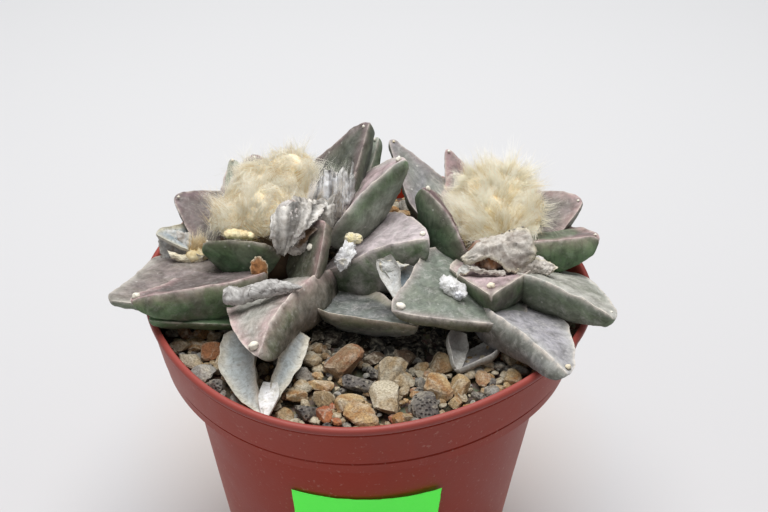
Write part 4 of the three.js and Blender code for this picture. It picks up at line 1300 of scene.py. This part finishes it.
# the stones that stand out in front: x, y, size and kind of each
frontStones = [
    (-4.9, -26.3, 9.4, "rust"), (-11.9, -24.4, 4.9, "beige"), (-13.1, -30.2, 5.3, "grey"),
    (-10.0, -29.2, 2.6, "ochre"), (-14.1, -36.8, 5.4, "ochre"), (-13.1, -33.5, 4.4, "beige"),
    (-8.5, -37.2, 5.2, "beige"), (-8.2, -42.1, 4.2, "orange"), (-6.8, -39.9, 2.3, "orange"),
    (-5.6, -43.9, 2.7, "orange"), (-3.0, -39.0, 5.6, "ochre"), (-0.6, -43.2, 7.0, "ochre"),
    (5.0, -38.0, 8.4, "beige"), (7.9, -44.2, 4.2, "ochre"), (-16.7, -43.0, 4.2, "ochre"),
    (-1.1, -32.5, 6.1, "lava"), (1.9, -28.2, 3.1, "lava"), (5.0, -28.2, 2.9, "orange"),
    (-5.5, -35.3, 1.9, "grey"), (-12.2, -41.7, 5.3, "lava"), (2.4, -23.8, 4.5, "rust"),
    (8.6, -24.7, 6.2, "rust"), (11.5, -24.1, 2.5, "grey"), (6.4, -29.0, 7.7, "beige"),
    (10.6, -40.3, 3.2, "lava"), (11.3, -36.0, 2.8, "ochre"),
    (17.3, -25.7, 6.2, "ochre"), (15.9, -34.0, 6.9, "ochre"), (20.7, -33.3, 5.7, "ochre"),
    (19.8, -38.6, 4.3, "ochre"), (13.8, -40.5, 7.5, "lava"), (26.3, -29.9, 4.4, "rust"),
    (32.4, -30.4, 4.9, "ochre"), (27.5, -24.6, 3.8, "beige"), (27.5, -34.6, 3.9, "grey"),
    (25.0, -36.3, 3.2, "lava"), (8.6, -31.1, 4.5, "beige"), (30.3, -25.6, 2.9, "grey"),
    (47.3, -14.3, 3.5, "beige"), (9.0, -43.1, 3.2, "beige"),
    (-41.8, -18.8, 5, "beige"), (-38.1, -19.1, 4.5, "ochre"), (-34.6, -21.6, 5.5, "rust"),
    (-31.8, -25.2, 4.5, "beige"), (-38.7, -24.5, 5, "beige"), (-35.2, -29.4, 5, "grey"),
    (-32.1, -33.1, 4.4, "lava"), (-29.7, -29.7, 3.5, "ochre"), (-44.2, -14.4, 4.4, "grey"),
    (-37.8, -14.3, 4.4, "ochre"), (-34.2, -16.1, 4, "beige"), (-41, -14.3, 4, "rust"),
]


def gravelHeight(x, y):
    return gravel["level"] - gravel["fall"] * (math.hypot(x, y) / pot["lipRadius"]) ** 2


def layStones():
    # large stones keep clear of one another; small ones fill in between and below
    stream = random(gravel["seed"])
    stones = [(x, y, size, kind, 0.16) for x, y, size, kind in frontStones]

    def crowded(x, y, size, share):
        return any(math.hypot(x - s[0], y - s[1]) < (size + s[2]) / 2 * share for s in stones)

    def scatter(wanted, sizes, share, lift):
        made, tries = 0, 0
        while made < wanted and tries < wanted * 30:
            tries += 1
            size = sizes[0] + (sizes[1] - sizes[0]) * stream.uniform() ** 1.6
            radius = (gravel["reach"] - size / 2) * math.sqrt(stream.uniform())
            angle = stream.uniform(0, 2 * math.pi)
            x, y = radius * math.cos(angle), radius * math.sin(angle)
            if not crowded(x, y, size, share):
                kind = stream.choice(gravel["kinds"], p=gravel["shares"])
                stones.append((x, y, size, str(kind), lift))
                made += 1

    scatter(gravel["large"], gravel["largeSize"], 0.74, 0.08)
    scatter(gravel["small"], gravel["smallSize"], 0.46, 0.06)
    return stones


def makeStones(name, stones, seed, material, subdivisions):
    bm = bmesh.new()
    bmesh.ops.create_icosphere(bm, subdivisions=subdivisions, radius=1)
    mesh, single = copiesOf(bm, len(stones))
    stream = random(seed)
    points, rows = [], {"tone": [], "stain": [], "wear": []}
    for x, y, size, kind, lift in stones:
        # a rock is a ball cut by flat planes on all sides
        planes = randomWays(stream, 10)
        distance = stream.uniform(0.55, 0.95, 10)
        turned = single @ planes.T
        reach = np.sort(np.where(turned > 0.05, distance / np.maximum(turned, 0.05), 9), axis=1)
        rows["wear"].append(np.exp(-(((reach[:, 1] - reach[:, 0]) / 0.07) ** 2)))
        radius = np.minimum(reach[:, 0], 1.12)[:, None]
        local = single * radius * [1.15, stream.uniform(0.8, 1), stream.uniform(0.5, 0.75)] * size / 2
        spin = Quaternion((0, 0, 1), stream.uniform(0, 6.28))
        spin = spin @ Quaternion(tuple(randomWays(stream, 1)[0]), stream.uniform(0, 0.5))
        place = [x, y, gravelHeight(x, y) + size * lift]
        points.append((local @ np.array(spin.to_matrix()).T + place) * mm)
        # painted shade: darker towards the middle under the right head
        away = math.hypot((x - shadeUnderHead["x"]) / shadeUnderHead["stretch"], y - shadeUnderHead["y"])
        light = 1 - shadeUnderHead["dark"] * min(max((shadeUnderHead["reach"] - away) / shadeUnderHead["fade"], 0), 1)
        # a random tone for each stone, and the painted shade on both of its colours
        shades = (stream.uniform(0.82, 1.12) * light, light)
        for key, color, shade in zip(("tone", "stain"), stoneTones[kind], shades):
            rows[key].append(np.tile(paint(*[min(value * shade, 255) for value in color]), (len(single), 1)))
    setPoints(mesh, np.concatenate(points))
    for key, values in rows.items():
        setValues(mesh, key, np.concatenate(values))
    addMesh(name, mesh, material, "gravel", smooth=False)


soil = {"steps": 96, "footRadius": 32.2, "topAbove": 83, "waves": 0.35, "sink": 0.9}


def makeSoil(material):
    # the dark grit between and under the stones, down to the floor
    bm = bmesh.new()
    foot = pot["floorTop"] + 0.3
    outline = [
        (0, foot), (soil["footRadius"], foot), (42.2, 73), (47.2, 76), (49.9, 83.4), (25, 83.6), (0, 83.8),
    ]
    lathe(bm, outline, soil["steps"])
    closeSeams(bm)
    top = [edge for edge in bm.edges if all(vert.co.z > soil["topAbove"] * mm for vert in edge.verts)]
    bmesh.ops.subdivide_edges(bm, edges=top, cuts=5, use_grid_fill=True)
    for vert in bm.verts:
        vert.co = warped(vert.co)
        if vert.co.z > soil["topAbove"] * mm:
            vert.co.z += (soil["waves"] * relief(vert.co, 2.2, 5, 3) - soil["sink"]) * mm
    addPiece("soil", bm, material, "gravel")


# Put together

setCamera()
setLights()
setFloor()
print("stage set")

makePot()
makeLabel()
print("pot and label made")

skin = tubercleSkin()
leftShapes = makeHead("head_left", headLeft, skin)
rightShapes = makeHead("head_right", headRight, skin)
areoleWool = fibreFinish("areoleWool", (214, 208, 196), (240, 238, 230), (226, 212, 180), 0.4)
makeAreoles("areolesLeft", "head_left", leftShapes, areoleWool)
makeAreoles("areolesRight", "head_right", rightShapes, areoleWool)
print("heads grown")

leftWool = fibreFinish("leftWool", (246, 243, 226), (254, 253, 246), (214, 186, 124), 0.24, 0.11)
rightWool = fibreFinish("rightWool", (248, 245, 226), (255, 254, 247), (220, 200, 146), 0.26, 0.14)
woolBase = woolMat()
makeWool("left", leftWool, woolBase)
makeWool("right", rightWool, woolBase)
print("wool laid")

paper = paperySkin()
for i, (node, shapes) in enumerate(oldTubercles.items()):
    makeOld(node, shapes, paper, 60 + 5 * i)
greyDried = driedFinish("greyDried", (212, 207, 203), (164, 157, 152), (126, 84, 50), 0.5, 620)
stalkDried = driedFinish("stalkDried", (194, 192, 189), (132, 128, 125), (150, 140, 128), 0.9)
whiteDried = driedFinish("whiteDried", (236, 236, 238), (184, 184, 190), (214, 202, 158))
creamDried = driedFinish("creamDried", (242, 228, 188), (206, 186, 140), (186, 140, 88), 0.3)
fibreWhite = fibreFinish("fibreWhite", (226, 220, 214), (246, 245, 244), (222, 206, 176), 0.25, 0.06)
creamFibre = fibreFinish("creamFibre", (226, 204, 156), (246, 238, 214), (214, 176, 120), 0.3, 0.06)
makeCore("driedFlowerLeft", greyDried, **cores["driedFlowerLeft"])
makeCore("driedFibreBase", greyDried, **cores["driedFibreBase"])
makeFibres("driedFibres", "dried_flower_left", fibreWhite)
makeCore("driedFlowerRight", greyDried, **cores["driedFlowerRight"])
makeCore("creamCrumbs", creamDried, **cores["creamCrumbs"])
makeCore("creamTuft", creamDried, **cores["creamTuft"])
makeFibres("creamFringe", "old_tubercle_left", creamFibre)
makeRod("driedStalk", "dried_flower_front", stalkDried)
makeCore("woolTuftLeft", whiteDried, **cores["woolTuftLeft"])
makeCore("woolTuftRight", whiteDried, **cores["woolTuftRight"])
for i, (node, sheets) in enumerate(flakes.items()):
    makeFlakes(node, sheets, paper, 90 + 9 * i)
print("dry pieces laid")

stones = layStones()
rocks = [s for s in stones if s[3] != "lava"]
lavas = [s for s in stones if s[3] == "lava"]
makeSoil(gritFinish())
plainRock = stoneFinish("paleRock", False)
makeStones("stonesLarge", [s for s in rocks if s[2] > 3.2], 51, plainRock, 3)
makeStones("stonesSmall", [s for s in rocks if s[2] <= 3.2], 52, plainRock, 2)
makeStones("stonesLava", lavas, 53, stoneFinish("lavaRock", True), 3)
print("gravel poured")
